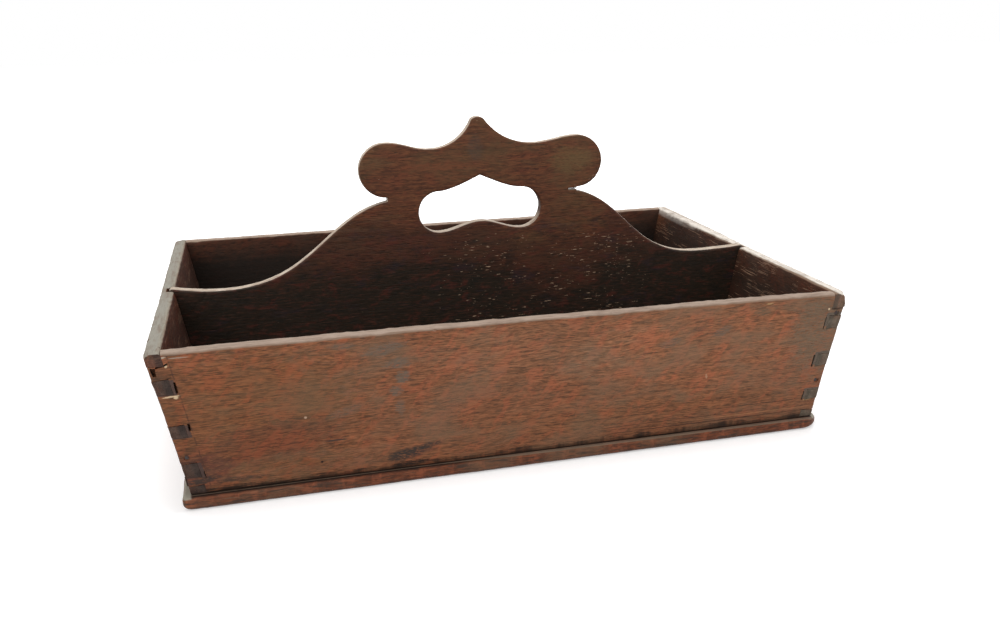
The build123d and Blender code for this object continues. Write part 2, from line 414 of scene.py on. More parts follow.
@dataclass(frozen=True)
class Sag:
    """How the tray has sunk at its corners, most at the front right, and how its top corners have rounded off."""

    front_right: float = 2.4 * MM
    back_right: float = -0.6 * MM
    front_left: float = -0.6 * MM
    at_foot: float = 0.35
    gather: float = 2.5
    back_right_lean: float = 5.0 * MM
    corner_radii: tuple[tuple[int, int, float], ...] = (
        (1, -1, 5.0 * MM), (-1, -1, 3.0 * MM), (-1, 1, 3.6 * MM), (1, 1, 2.0 * MM),
    )

    def drop(self, points: np.ndarray) -> np.ndarray:
        """How far each point sinks.

        Args:
            points: One row for each point.

        Returns:
            The distances.
        """
        x, y, z = points.T
        right = np.clip(0.5 + x / SIZES.rim_length, 0, 1)
        front = np.clip(0.5 - y / SIZES.rim_width, 0, 1)
        most = (self.front_right * right**self.gather * front**1.5
                + self.back_right * right**self.gather * (1 - front)
                + self.front_left * (1 - right) * front)
        low = np.clip(z / SIZES.base_thickness, 0, 1) * self.at_foot
        high = np.clip((z - SIZES.base_thickness) / SIZES.wall_height, 0, 1) * (1 - self.at_foot)
        return most * (low + high)

    def apply(self, piece: bpy.types.Object) -> None:
        """Sinks a board towards the worn corners, and rounds off the rim there.

        Args:
            piece: The board, whose mesh changes.
        """
        points, _ = read_points(piece.data)
        height = np.clip((points[:, 2] - SIZES.base_thickness) / SIZES.wall_height, 0, 1)
        back = np.clip(0.5 + points[:, 1] / SIZES.rim_width, 0, 1)
        right = np.clip(points[:, 0] / (SIZES.rim_length / 2), 0, 1)
        points[:, 2] -= self.drop(points)
        points[:, 0] += self.back_right_lean * back**2 * right**3 * height
        for side, facing, radius in self.corner_radii:
            lowered = SIZES.rim_z - (self.front_right if (side, facing) == (1, -1) else 0.0)
            corner = np.array([side * SIZES.rim_length / 2, facing * SIZES.rim_width / 2, lowered])
            centre = corner - radius * np.array([side, facing, 1])
            gap = points - centre
            inside = (gap * np.array([side, facing, 1]) > 0).all(axis=1)
            far = np.linalg.norm(gap, axis=1)
            pull = inside & (far > radius)
            share = 1 - 0.75 * (1 - radius / np.maximum(far, 1e-9))
            points[pull] = centre + gap[pull] * share[pull, None]
        write_points(piece.data, points)


SAG = Sag()


def read_points(mesh: bpy.types.Mesh) -> tuple[np.ndarray, np.ndarray]:
    """Reads a mesh.

    Args:
        mesh: The mesh.

    Returns:
        Its points and their normals, one row each.
    """
    points = np.zeros(len(mesh.vertices) * 3)
    normals = np.zeros(len(mesh.vertices) * 3)
    mesh.vertices.foreach_get("co", points)
    mesh.vertex_normals.foreach_get("vector", normals)
    return points.reshape(-1, 3), normals.reshape(-1, 3)


def write_points(mesh: bpy.types.Mesh, points: np.ndarray) -> None:
    """Writes a mesh's points back."""
    mesh.vertices.foreach_set("co", points.reshape(-1))
    mesh.update()


def add_piece(name: str, points: np.ndarray, faces: Sequence[Sequence[int]]) -> bpy.types.Object:
    """Makes a mesh object from points and faces, with its faces turned outwards.

    Args:
        name: The object's name.
        points: One row for each point.
        faces: The points of each face.

    Returns:
        The object.
    """
    mesh = bpy.data.meshes.new(name)
    mesh.from_pydata([tuple(p) for p in points], [], [tuple(int(i) for i in f) for f in faces])
    shape = bmesh.new()
    shape.from_mesh(mesh)
    bmesh.ops.recalc_face_normals(shape, faces=shape.faces)
    shape.to_mesh(mesh)
    shape.free()
    piece = bpy.data.objects.new(name, mesh)
    bpy.context.scene.collection.objects.link(piece)
    return piece


def rings_piece(name: str, rings: Sequence[np.ndarray]) -> bpy.types.Object:
    """Skins closed rings of equally many points, and closes both ends with a fan round a middle point.

    Args:
        name: The object's name.
        rings: The rings in order, one row for each point.

    Returns:
        The object.
    """
    count = len(rings[0])
    last = (len(rings) - 1) * count
    first_middle, last_middle = last + count, last + count + 1
    faces = []
    for j in range(count):
        k = (j + 1) % count
        faces.append((k, j, first_middle))
        faces.append((last + j, last + k, last_middle))
        for i in range(len(rings) - 1):
            faces.append((i * count + j, i * count + k, (i + 1) * count + k, (i + 1) * count + j))
    middles = [rings[0].mean(axis=0, keepdims=True), rings[-1].mean(axis=0, keepdims=True)]
    return add_piece(name, np.concatenate([*rings, *middles]), faces)


def graded(length: float, step: float, fine: Sequence[float]) -> np.ndarray:
    """Places along a stretch, close together near both of its ends.

    Args:
        length: How long the stretch is.
        step: The widest spacing, in the middle.
        fine: The first few distances from each end.

    Returns:
        The places, from 0 to the length.
    """
    near = [d for d in fine if d < length / 3]
    start = near[-1] if near else 0.0
    middle = np.linspace(start, length - start, max(2, int((length - 2 * start) / step) + 1))
    return np.unique(np.concatenate([[0.0], near, middle, [length - d for d in near], [length]]).round(7))


def rounded_outline(corners: Sequence[tuple[float, float]], radii: Sequence[float], step: float,
                    fine: Sequence[float], turns: int = 4) -> tuple[np.ndarray, np.ndarray]:
    """Goes round a convex outline with its corners rounded off.

    Args:
        corners: The outline's corners, counter-clockwise.
        radii: The radius at each corner.
        step: The widest spacing of points.
        fine: Distances of the first points beyond each rounding.
        turns: How many steps each rounding takes.

    Returns:
        The points, and the outward normal at each.
    """
    points, normals = [], []
    corners = [np.array(c, float) for c in corners]
    count = len(corners)
    for i, corner in enumerate(corners):
        before, after = corners[i - 1], corners[(i + 1) % count]
        way_in = (corner - before) / np.linalg.norm(corner - before)
        way_out = (after - corner) / np.linalg.norm(after - corner)
        normal_in = np.array([way_in[1], -way_in[0]])
        normal_out = np.array([way_out[1], -way_out[0]])
        turn = math.acos(np.clip(normal_in @ normal_out, -1, 1))
        cut = radii[i] * math.tan(turn / 2)
        centre = corner - way_in * cut - normal_in * radii[i]
        start_angle = math.atan2(normal_in[1], normal_in[0])
        for k in range(turns + 1):
            angle = start_angle + turn * k / turns
            normal = np.array([math.cos(angle), math.sin(angle)])
            points.append(centre + normal * radii[i])
            normals.append(normal)
        next_normal_turn = math.acos(np.clip(normal_out @ _normal(after, corners[(i + 2) % count]), -1, 1))
        next_cut = radii[(i + 1) % count] * math.tan(next_normal_turn / 2)
        stretch = np.linalg.norm(after - corner) - cut - next_cut
        for d in graded(stretch, step, fine)[1:-1]:
            points.append(corner + way_out * (cut + d))
            normals.append(normal_out)
    return np.array(points), np.array(normals)


def _normal(start: np.ndarray, end: np.ndarray) -> np.ndarray:
    """The outward normal of a counter-clockwise outline's stretch."""
    way = (end - start) / np.linalg.norm(end - start)
    return np.array([way[1], -way[0]])


def cut_away(piece: bpy.types.Object, cutters: Sequence[bpy.types.Object]) -> None:
    """Subtracts objects that don't overlap each other from a piece, and deletes them.

    Args:
        piece: What is cut.
        cutters: What is taken away.
    """
    if not cutters:
        return
    joined = bmesh.new()
    for part in cutters:
        joined.from_mesh(part.data)
    cutter = cutters[0]
    joined.to_mesh(cutter.data)
    joined.free()
    for part in cutters[1:]:
        bpy.data.objects.remove(part)
    modifier = piece.modifiers.new("cut", "BOOLEAN")
    modifier.operation = "DIFFERENCE"
    modifier.solver = "MANIFOLD"
    modifier.object = cutter
    shaped = bpy.data.meshes.new_from_object(piece.evaluated_get(bpy.context.evaluated_depsgraph_get()))
    plain = bmesh.new()
    plain.from_mesh(shaped)
    bmesh.ops.triangulate(plain, faces=[face for face in plain.faces if len(face.verts) > 4])
    plain.to_mesh(shaped)
    plain.free()
    piece.modifiers.clear()
    old = piece.data
    piece.data = shaped
    shaped.name = piece.name
    bpy.data.meshes.remove(old)
    bpy.data.objects.remove(cutter)


def smooth(piece: bpy.types.Object, angle: float = 32.0) -> None:
    """Shades a piece smooth up to an angle in degrees, with its large faces flat."""
    piece.data.shade_smooth()
    piece.data.set_sharp_from_angle(angle=math.radians(angle))
    modifier = piece.modifiers.new("flat_faces", "WEIGHTED_NORMAL")
    modifier.keep_sharp = True


@dataclass(frozen=True)
class Pin:
    """One pin, as its span above the base board at its inner side, and the slit beside it."""

    low: float
    high: float
    slit: float = 0.9 * MM
    slit_from: float = 0.0
    slit_to: float = 1.0


@dataclass(frozen=True)
class Joint:
    """The dovetails at one corner, as heights above the base board."""

    pins: tuple[Pin, ...]
    rim_pin: float
    foot_pin: float = 5.0 * MM
    flare: float = 0.5 * MM
    slack: float = 0.12 * MM
    slit_reach: float = 10.4 * MM
    slit_depth: float = 4.0 * MM
    cracks: tuple[tuple[tuple[float, float], ...], ...] = ()
    seed: float = 0.0

    def spans(self) -> list[tuple[float, float]]:
        """The lowest and highest point of each pin at its inner side, half pins among them."""
        past = SIZES.wall_thickness
        base, rim = SIZES.base_thickness, SIZES.rim_z
        return [(base - past, base + self.foot_pin), *[(base + pin.low, base + pin.high) for pin in self.pins],
                (base + self.rim_pin, rim + past)]

    def outline(self, low: float, high: float, grow: float, inner: float, outer: float) -> list[tuple[float, float]]:
        """A pin seen from the front, as distances in from the end board's outer face, and heights.

        Args:
            low, high: Its span at its inner side.
            grow: How much it is widened on each side.
            inner, outer: How far in it starts, and how far out it ends.

        Returns:
            Four corners.
        """
        slope = self.flare / SIZES.run(True)
        low_rise = 0.0 if low < SIZES.base_thickness else slope
        high_fall = 0.0 if high > SIZES.rim_z else slope
        run = SIZES.run(True)
        return [
            (inner, low - grow + low_rise * (run - inner)),
            (-outer, low - grow + low_rise * (run + outer)),
            (-outer, high + grow - high_fall * (run + outer)),
            (inner, high + grow - high_fall * (run - inner)),
        ]

    def slits(self) -> list[list[tuple[float, float]]]:
        """The outlines of the open slit at each pin's inner side, and of the cracks."""
        outlines = []
        for pin in self.pins:
            height = pin.high - pin.low
            low = SIZES.base_thickness + pin.low + height * pin.slit_from
            high = SIZES.base_thickness + pin.low + height * pin.slit_to
            near, far = self.slit_reach - pin.slit / 2, self.slit_reach + pin.slit / 2
            outlines.append([(far, low), (near, low), (near + pin.slit * 0.2, high), (far + pin.slit * 0.3, high)])
        for crack in self.cracks:
            outlines.append([(depth * MM, SIZES.base_thickness + rise * MM) for depth, rise in crack])
        return outlines


LEFT_JOINT = Joint(
    pins=(
        Pin(9.8 * MM, 18.6 * MM, 0.5 * MM, -0.1, 0.35),
        Pin(33.8 * MM, 41.4 * MM, 1.1 * MM, 0.45, 1.05),
        Pin(58.8 * MM, 67.6 * MM, 1.1 * MM, 0.05, 0.8),
    ),
    rim_pin=74.6 * MM,
    cracks=(((10.4, 75.2), (4.0, 73.6), (4.0, 74.5), (10.4, 76.4)), ((3.4, 69.6), (1.6, 69.6), (1.2, 74.2), (3.8, 74.2))),
    seed=3,
)
RIGHT_JOINT = Joint(
    pins=(
        Pin(12.0 * MM, 19.0 * MM, 0.7 * MM, 0.0, 0.9),
        Pin(34.6 * MM, 43.0 * MM, 1.0 * MM, 0.0, 0.95),
        Pin(59.4 * MM, 68 * MM, 0.6 * MM, 0.0, 0.95),
    ),
    rim_pin=72.5 * MM,
    seed=7,
)


def prism(name: str, side: int, outline: Sequence[tuple[float, float]], y_near: Callable[[float], float],
          y_far: Callable[[float], float], seed: float, rough: float) -> bpy.types.Object:
    """A block with a four-sided outline in the tray's front view, with slightly uneven faces.

    Args:
        name: The object's name.
        side: -1 or 1, for the left or right end of the tray.
        outline: Distances in from the end board's outer face, and heights.
        y_near, y_far: Give where the block starts and ends along Y at a height.
        seed: Where its unevenness is read.
        rough: How uneven it is, in metres.

    Returns:
        The block.
    """
    steps = 6
    rings = []
    ring_corners = [np.array(c) for c in outline]
    path = []
    for i, corner in enumerate(ring_corners):
        following = ring_corners[(i + 1) % len(ring_corners)]
        for k in range(steps):
            path.append(corner + (following - corner) * k / steps)
    for share in np.linspace(0, 1, 5):
        ring = []
        for depth, z in path:
            x = side * (SIZES.half(True, z) - depth)
            y = y_near(z) + (y_far(z) - y_near(z)) * share
            at = Vector((x + seed, y, z))
            drift = noise.noise_vector(at / (2.5 * MM)) * rough
            ring.append((x + drift.x, y, z + drift.z))
        rings.append(np.array(ring))
    return rings_piece(name, rings)


@dataclass(frozen=True)
class Chip:
    """A small piece broken or worn out of a board."""

    place: tuple[float, float, float]
    size: tuple[float, float, float]
    turn: float = 0.0

    def cutter(self) -> bpy.types.Object:
        """The ragged lump that is taken out."""
        shape = bmesh.new()
        bmesh.ops.create_icosphere(shape, subdivisions=3, radius=1.0)
        at = Vector(self.place) * MM
        for vertex in shape.verts:
            swell = 1 + 0.35 * noise.noise(vertex.co * 1.7 + at * 900)
            spot = Vector([c * s * MM / 2 for c, s in zip(vertex.co * swell, self.size)])
            spot.rotate(Matrix.Rotation(math.radians(self.turn), 3, "Y"))
            vertex.co = spot + at
        mesh = bpy.data.meshes.new("chip")
        shape.to_mesh(mesh)
        shape.free()
        lump = bpy.data.objects.new("chip", mesh)
        bpy.context.scene.collection.objects.link(lump)
        return lump


@dataclass(frozen=True)
class Nails:
    """The nails of one node: forged heads on tapered shanks, and the pockets that they were punched into."""

    node: str
    along: int
    turns: int = 14
    pocket: float = 0.3 * MM
    deep: float = 0.15 * MM

    def boxes(self, frame: dict[str, Any]) -> list[tuple[np.ndarray, np.ndarray, bool]]:
        """Reads where each nail of the node is.


        Returns:
            For each nail the corners of its box, and whether its head is at the low end.
        """
        shape = bmesh.new()
        shape.from_mesh(frame["nodes"][self.node].data)
        bmesh.ops.remove_doubles(shape, verts=shape.verts, dist=0.001 * MM)
        left = set(shape.verts)
        found = []
        while left:
            part = {left.pop()}
            edge_on = list(part)
            while edge_on:
                near = {e.other_vert(v) for v in edge_on for e in v.link_edges} - part
                part |= near
                edge_on = list(near)
            left -= part
            points = np.array([v.co for v in part])
            low, high = points.min(axis=0), points.max(axis=0)
            across = np.delete(np.arange(3), self.along)
            ends = [points[np.abs(points[:, self.along] - end) < MM] for end in (low[self.along], high[self.along])]
            wide = [np.ptp(end[:, across], axis=0).max() for end in ends]
            found.append((np.array([end.mean(axis=0) for end in ends]), np.array(wide), bool(wide[0] > wide[1])))
        shape.free()
        return sorted(found, key=lambda nail: tuple(nail[0][0].round(5)))

    def ring(self, centre: np.ndarray, radius: float, corner: float, seed: float) -> np.ndarray:
        """A hammered ring across the nail, between round and square.

        Args:
            centre: Its middle.
            radius: Half its width.
            corner: How much its corners stand out, 0 for round.
            seed: Where its unevenness is read.

        Returns:
            Its points.
        """
        axes = [i for i in range(3) if i != self.along]
        points = np.tile(centre, (self.turns, 1))
        for k in range(self.turns):
            angle = 2 * math.pi * k / self.turns
            square = 1 + corner * abs(math.sin(2 * (angle + math.pi / 4 - math.pi / 4))) ** 2
            uneven = 1 + 0.12 * noise.noise(Vector((math.cos(angle) * 1.3, math.sin(angle) * 1.3, seed)))
            points[k, axes[0]] += radius * square * uneven * math.cos(angle)
            points[k, axes[1]] += radius * square * uneven * math.sin(angle)
        return points

    def make(self, frame: dict[str, Any], finish: bpy.types.Material) -> bpy.types.Object:
        """Forges the nails and puts them in the place of their node.

        Args:
            finish: Their material.

        Returns:
            The piece.
        """
        whole = bmesh.new()
        for seed, (ends, wide, low_head) in enumerate(self.boxes(frame)):
            head, tip = (ends[0], ends[1]) if low_head else (ends[1], ends[0])
            half = max(wide) / 2
            shank = half * 0.55
            rings = []
            for share, radius, corner in ((0.0, half * 0.5, 0.0), (0.004, half * 0.86, 0.0), (0.015, half * 0.97, 0.0),
                                          (0.035, half * 0.9, 0.05), (0.06, shank, 0.2), (0.4, shank * 0.85, 0.25),
                                          (0.8, shank * 0.6, 0.25), (1.0, shank * 0.3, 0.2)):
                rings.append(self.ring(head + (tip - head) * share, radius, corner, 1.7 * seed))
            one = rings_piece("nail", rings)
            whole.from_mesh(one.data)
            bpy.data.objects.remove(one)
        mesh = bpy.data.meshes.new(self.node)
        whole.to_mesh(mesh)
        whole.free()
        piece = bpy.data.objects.new(self.node, mesh)
        bpy.context.scene.collection.objects.link(piece)
        return settle(piece, finish, self.node)

    def pockets(self, frame: dict[str, Any], facing: int) -> list[bpy.types.Object]:
        """The lumps that bare the nails' heads.

        Args:
            facing: -1 or 1, the way along the nail that its head looks.

        Returns:
            One cutter for each nail whose head looks that way.
        """
        cutters = []
        for seed, (ends, wide, low_head) in enumerate(self.boxes(frame)):
            if low_head != (facing < 0):
                continue
            head = ends[0] if low_head else ends[1]
            way = np.zeros(3)
            way[self.along] = facing
            rings = []
            for out in (-self.deep, 0.3 * MM, 1.2 * MM, 4 * MM):
                radius = max(wide) / 2 + self.pocket + max(out, 0.0) * 0.15
                rings.append(self.ring(head + way * out, radius, 0.0, 3.1 * seed + 40 * out))
            cutters.append(rings_piece("pocket", rings))
        return cutters


class Figure(Enum):
    """Which way a board's grain runs, as the order of its coordinates: along, across and through."""

    ALONG_X_UPRIGHT = (0, 2, 1)
    ALONG_Y_UPRIGHT = (1, 2, 0)
    ALONG_X_FLAT = (0, 1, 2)


@dataclass(frozen=True)
class Mark:
    """A stain, scar or painted patch of light, as an ellipse along and across a board's face, in millimetres."""

    along: float
    across: float
    length: float
    width: float
    colour: Colour
    strength: float = 0.8
    turn: float = 0.0
    ragged: float = 0.5
    way: str = "MIX"


@dataclass(frozen=True)
class OakFinish:
    """Old oak: a solid grain with rings, fibres, open pores and ray flakes, under a patina."""

    name: str
    figure: Figure
    light: Colour = linear(136, 86, 58)
    dark: Colour = linear(90, 58, 38)
    flake: Colour = linear(142, 78, 52)
    pore: Colour = linear(56, 38, 28)
    pore_share: float = 0.62
    patina: Colour = linear(100, 80, 62)
    patina_share: float = 0.55
    pith: tuple[float, float] = (-70.0, 46.0)
    ring: float = 2.3
    seed: float = 0.0
    rough: float = 0.55
    shine: float = 0.14
    flake_share: float = 0.55
    flake_turn: float = 48.0
    small_mark: float = 3.0
    marks: tuple[Mark, ...] = ()

    def grain(self, graph: Graph) -> tuple[Wire, Wire, tuple[Wire, Wire, Wire]]:
        """The bare wood.

        Args:
            graph: Where its nodes go.

        Returns:
            Its colour, its relief from 0 to 1, and the place as distances along, across and through the board.
        """
        parts = graph.place().parts()
        u, v, w = (parts[i] for i in self.figure.value)
        s = self.seed
        wander = (graph.cloud(graph.vector(u / 95 + s, v / 60, w / 60), 2) - 0.5) * 10
        ripple = (graph.cloud(graph.vector(u / 18 + s, v / 8, w / 8), 2) - 0.5) * 0.9
        across = v + wander + ripple
        radius = graph.maths("SQRT", (across - self.pith[0]) ** 2.0 + (w - self.pith[1]) ** 2.0) / self.ring
        uneven = graph.cloud(graph.vector(radius * 0.35, s, 0.0), 2) * 2.0
        year = (radius + uneven).fraction()
        early = year.ramp(0.0, 0.2) * year.ramp(0.8, 0.35)
        fine = graph.cloud(graph.vector(u / 6 + s, across / 0.7, w / 0.7), 3, 0.65)
        streak = graph.cloud(graph.vector(u / 50 + s, across / 3.2, w / 3.2), 3, 0.6)
        dash = graph.cloud(graph.vector(u / 4.4 + s, across / 0.62, w / 0.62), 1, 0.4)
        pores = dash.ramp(0.52, 0.64) * (0.6 + 0.4 * early)
        slope = math.radians(self.flake_turn)
        along = u * math.cos(slope) + v * math.sin(slope)
        beside = v * math.cos(slope) - u * math.sin(slope)
        flakes = graph.cloud(graph.vector(along / 15 + s, beside / 6.5, w / 20), 6, 0.66, 0.6).ramp(0.48, 0.6)
        tone = 0.5 + (fine - 0.5) * 1.7 + (streak - 0.5) * 0.5 - 0.08 * early
        colour = graph.blend(tone.ramp(0.12, 0.88), self.dark, self.light)
        colour = graph.blend(flakes * self.flake_share, colour, self.flake)
        colour = graph.blend(pores * self.pore_share, colour, self.pore)
        relief = 0.6 + 0.2 * fine - 0.5 * pores - 0.1 * early
        return colour, relief, (u, v, w)

    def flecks(self, graph: Graph, at: tuple[Wire, Wire, Wire], length: float, width: float, rare: Any) -> Wire:
        """Small scratches and chips along the grain.

        Args:
            graph: Where the nodes go.
            at: The place, as from grain.
            length, width: How long and wide they are, in millimetres.
            rare: The noise level that they stand above, from 0.5 for many to 0.8 for almost none.

        Returns:
            A mask.
        """
        u, v, w = at
        sway = graph.cloud(graph.vector(u / 12 + self.seed, v / 9, w / 9), 2) * 1.6
        dash = graph.cloud(graph.vector(u / length - self.seed, (v + sway) / width, w / length), 2, 0.6)
        return dash.ramp(rare, rare + 0.05)

    def age(self, graph: Graph, colour: Wire, at: tuple[Wire, Wire, Wire]) -> Wire:
        """Lays the patina and the marks over the wood.

        Args:
            graph: Where the nodes go.
            colour: The wood's colour.
            at: The place, as from grain.

        Returns:
            The aged colour.
        """
        u, v, w = at
        s = self.seed
        cast = graph.cloud(graph.vector(u / 40 + s * 2, v / 20, w / 30), 5, 0.62, 0.4).ramp(0.42, 0.66)
        colour = graph.blend(cast * self.patina_share, colour, self.patina)
        coarse = graph.cloud(graph.vector(u / 5 + s, v / 2.6, w / 8), 4, 0.65) * 2 - 1
        close = graph.cloud(graph.vector(u / 2.4 + s, v / 0.6, w / 2), 3, 0.6) * 2 - 1
        dashed = close.ramp(-0.4, 0.1)
        flat = graph.vector(u, v, 0.0)
        for mark in self.marks:
            large = mark.width > self.small_mark
            stretch = {"Location": (mark.along, mark.across, 0.0), "Rotation": (0.0, 0.0, math.radians(mark.turn)),
                       "Scale": (mark.length / 2, mark.width / 2, 1.0)}
            unit = graph.add("ShaderNodeMapping", {"vector_type": "TEXTURE"}, {"Vector": flat, **stretch})
            gap = graph.vector_maths("LENGTH", Wire(graph, unit.outputs[0])) + (coarse if large else close) * mark.ragged
            share = gap.ramp(1.15, 0.55, mark.strength)
            if mark.way == "MIX" and large:
                share = share * dashed
            colour = graph.blend(share, colour, mark.colour, mark.way)
        return colour


@dataclass
class WallBoard:
    """One of the four splayed walls."""

    name: str
    lie: Lie
    wear: Wear
    chips: tuple[Chip, ...] = ()
    rim_round: float = 1.5 * MM
    foot_round: float = 0.3 * MM
    end_round: float = 1.1 * MM
    spacing: float = 2.4 * MM
    station: float = 1.7 * MM
    fine: tuple[float, ...] = (0.6 * MM, 1.4 * MM, 2.6 * MM)

    def place(self, along: np.ndarray, out: np.ndarray, z: np.ndarray) -> np.ndarray:
        """Points of the board, from the way along it, the way out from the middle of the tray, and the height."""
        if self.lie.is_end:
            return np.stack([out * self.lie.value[0], along, z], axis=1)
        return np.stack([along, out * self.lie.value[1], z], axis=1)

    def build(self) -> bpy.types.Object:
        """Skins the board as a leaning section swept along it, with rounded arrises and ends that lean too.

        Returns:
            The board, before it is cut.
        """
        end = self.lie.is_end
        base, rim, run = SIZES.base_thickness, SIZES.rim_z, SIZES.run(end)
        corners = [
            (SIZES.half(end, base) - run, base),
            (SIZES.half(end, base), base),
            (SIZES.half(end, rim), rim),
            (SIZES.half(end, rim) - run, rim),
        ]
        radii = [self.foot_round, self.foot_round, self.rim_round, self.rim_round]
        section, normals = rounded_outline(corners, radii, self.spacing, self.fine)
        half = SIZES.half(not end, rim)
        round_off = [self.end_round * k for k in (0.08, 0.3, 0.6, 1.0)]
        rings = []
        for s in graded(2 * half, self.station, (*round_off, self.end_round + 0.8 * MM, self.end_round + 2 * MM)):
            gap = min(s, 2 * half - s)
            inset = 0.0
            if gap < self.end_round:
                inset = self.end_round - math.sqrt(self.end_round**2 - (self.end_round - gap) ** 2)
            ring = section - normals * inset
            along = (s / half - 1) * SIZES.half(not end, ring[:, 1])
            rings.append(self.place(along, ring[:, 0], ring[:, 1]))
        return rings_piece(self.name, rings)

    def arris_gap(self, points: np.ndarray) -> np.ndarray:
        """Each point's distance to the nearest arris of the rim or of the outer corners.

        Args:
            points: One row for each point.

        Returns:
            The distances.
        """
        end = self.lie.is_end
        out = np.abs(points[:, 0 if end else 1])
        along = np.abs(points[:, 1 if end else 0])
        z = points[:, 2]
        outside = SIZES.half(end, z) - out
        inside = SIZES.run(end) - outside
        rim = np.hypot(np.minimum(np.abs(outside), np.abs(inside)), SIZES.rim_z - z)
        corner = np.hypot(outside, SIZES.half(not end, z) - along)
        return np.minimum(rim, corner)

    def joint(self, side: int) -> Joint:
        """The dovetails at the left, -1, or the right, 1."""
        return LEFT_JOINT if side < 0 else RIGHT_JOINT

    def cut_sockets(self, piece: bpy.types.Object) -> None:
        """Cuts the sockets of a long board, which take the pins."""
        facing = self.lie.value[1]
        past = SIZES.wall_thickness
        sockets, slits = [], []
        for side in (-1, 1):
            joint = self.joint(side)
            for i, (low, high) in enumerate(joint.spans()):
                sockets.append(prism(
                    "socket", side, joint.outline(low, high, joint.slack, SIZES.run(True), past),
                    lambda z: facing * (SIZES.half(False, z) - SIZES.run(False) - past),
                    lambda z: facing * (SIZES.half(False, z) + past),
                    joint.seed + i, 0.15 * MM,
                ))
            for i, outline in enumerate(joint.slits()):
                slits.append(prism(
                    "slit", side, outline,
                    lambda z: facing * (SIZES.half(False, z) - joint.slit_depth),
                    lambda z: facing * (SIZES.half(False, z) + past),
                    joint.seed - i, 0.3 * MM,
                ))
        cut_away(piece, sockets)
        cut_away(piece, slits)

    def cut_tails(self, piece: bpy.types.Object) -> None:
        """Cuts what lies between the pins of an end board, and the housing for the divider."""
        side = self.lie.value[0]
        joint = self.joint(side)
        past = SIZES.wall_thickness
        spans = joint.spans()
        cutters = []
        for facing in (-1, 1):
            for i in range(len(spans) - 1):
                lower = joint.outline(*spans[i], -joint.slack, SIZES.run(True) + past, past)
                upper = joint.outline(*spans[i + 1], -joint.slack, SIZES.run(True) + past, past)
                cutters.append(prism(
                    "tail", side, [lower[3], lower[2], upper[1], upper[0]],
                    lambda z, f=facing: f * (SIZES.half(False, z) - SIZES.run(False)),
                    lambda z, f=facing: f * (SIZES.half(False, z) + past),
                    joint.seed + i, 0.15 * MM,
                ))
        housing = SIZES.divider_thickness / 2 + 0.35 * MM
        run = SIZES.run(True)
        outline = [(run + past, SIZES.base_thickness - past), (run - 5 * MM, SIZES.base_thickness - past),
                   (run - 5 * MM, SIZES.rim_z + past), (run + past, SIZES.rim_z + past)]
        cutters.append(prism(
            "housing", side, outline,
            lambda z: SIZES.divider_offset - housing,
            lambda z: SIZES.divider_offset + housing,
            joint.seed, 0.2 * MM,
        ))
        cut_away(piece, cutters)

    def make(self, finish: bpy.types.Material, slot: str, pockets: Sequence[bpy.types.Object] = ()) -> bpy.types.Object:
        """Builds, wears, cuts and dresses the board in the place of its node.

        Args:
            finish: Its material.
            slot: Not used.
            pockets: The cutters that bare the heads of its nails.

        Returns:
            The piece.
        """
        piece = self.build()
        self.wear.apply(piece, self.arris_gap)
        if self.lie.is_end:
            self.cut_tails(piece)
        else:
            self.cut_sockets(piece)
        cut_away(piece, [chip.cutter() for chip in self.chips])
        cut_away(piece, pockets)
        return settle(piece, finish, self.name)


def settle(piece: bpy.types.Object, finish: bpy.types.Material, node: str) -> bpy.types.Object:
    """Sinks and shades a piece, gives it its finish and puts it in the place of its node.

    Args:
        piece: The piece.
        finish: Its material.
        node: The node that it stands for.

    Returns:
        The piece.
    """
    piece.name = f"worn_{node}"
    SAG.apply(piece)
    smooth(piece)
    piece.data.materials.clear()
    piece.data.materials.append(finish)
    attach(piece, CASE)
    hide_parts(node)
    log.info("%s: %d faces", piece.name, len(piece.data.polygons))
    return piece


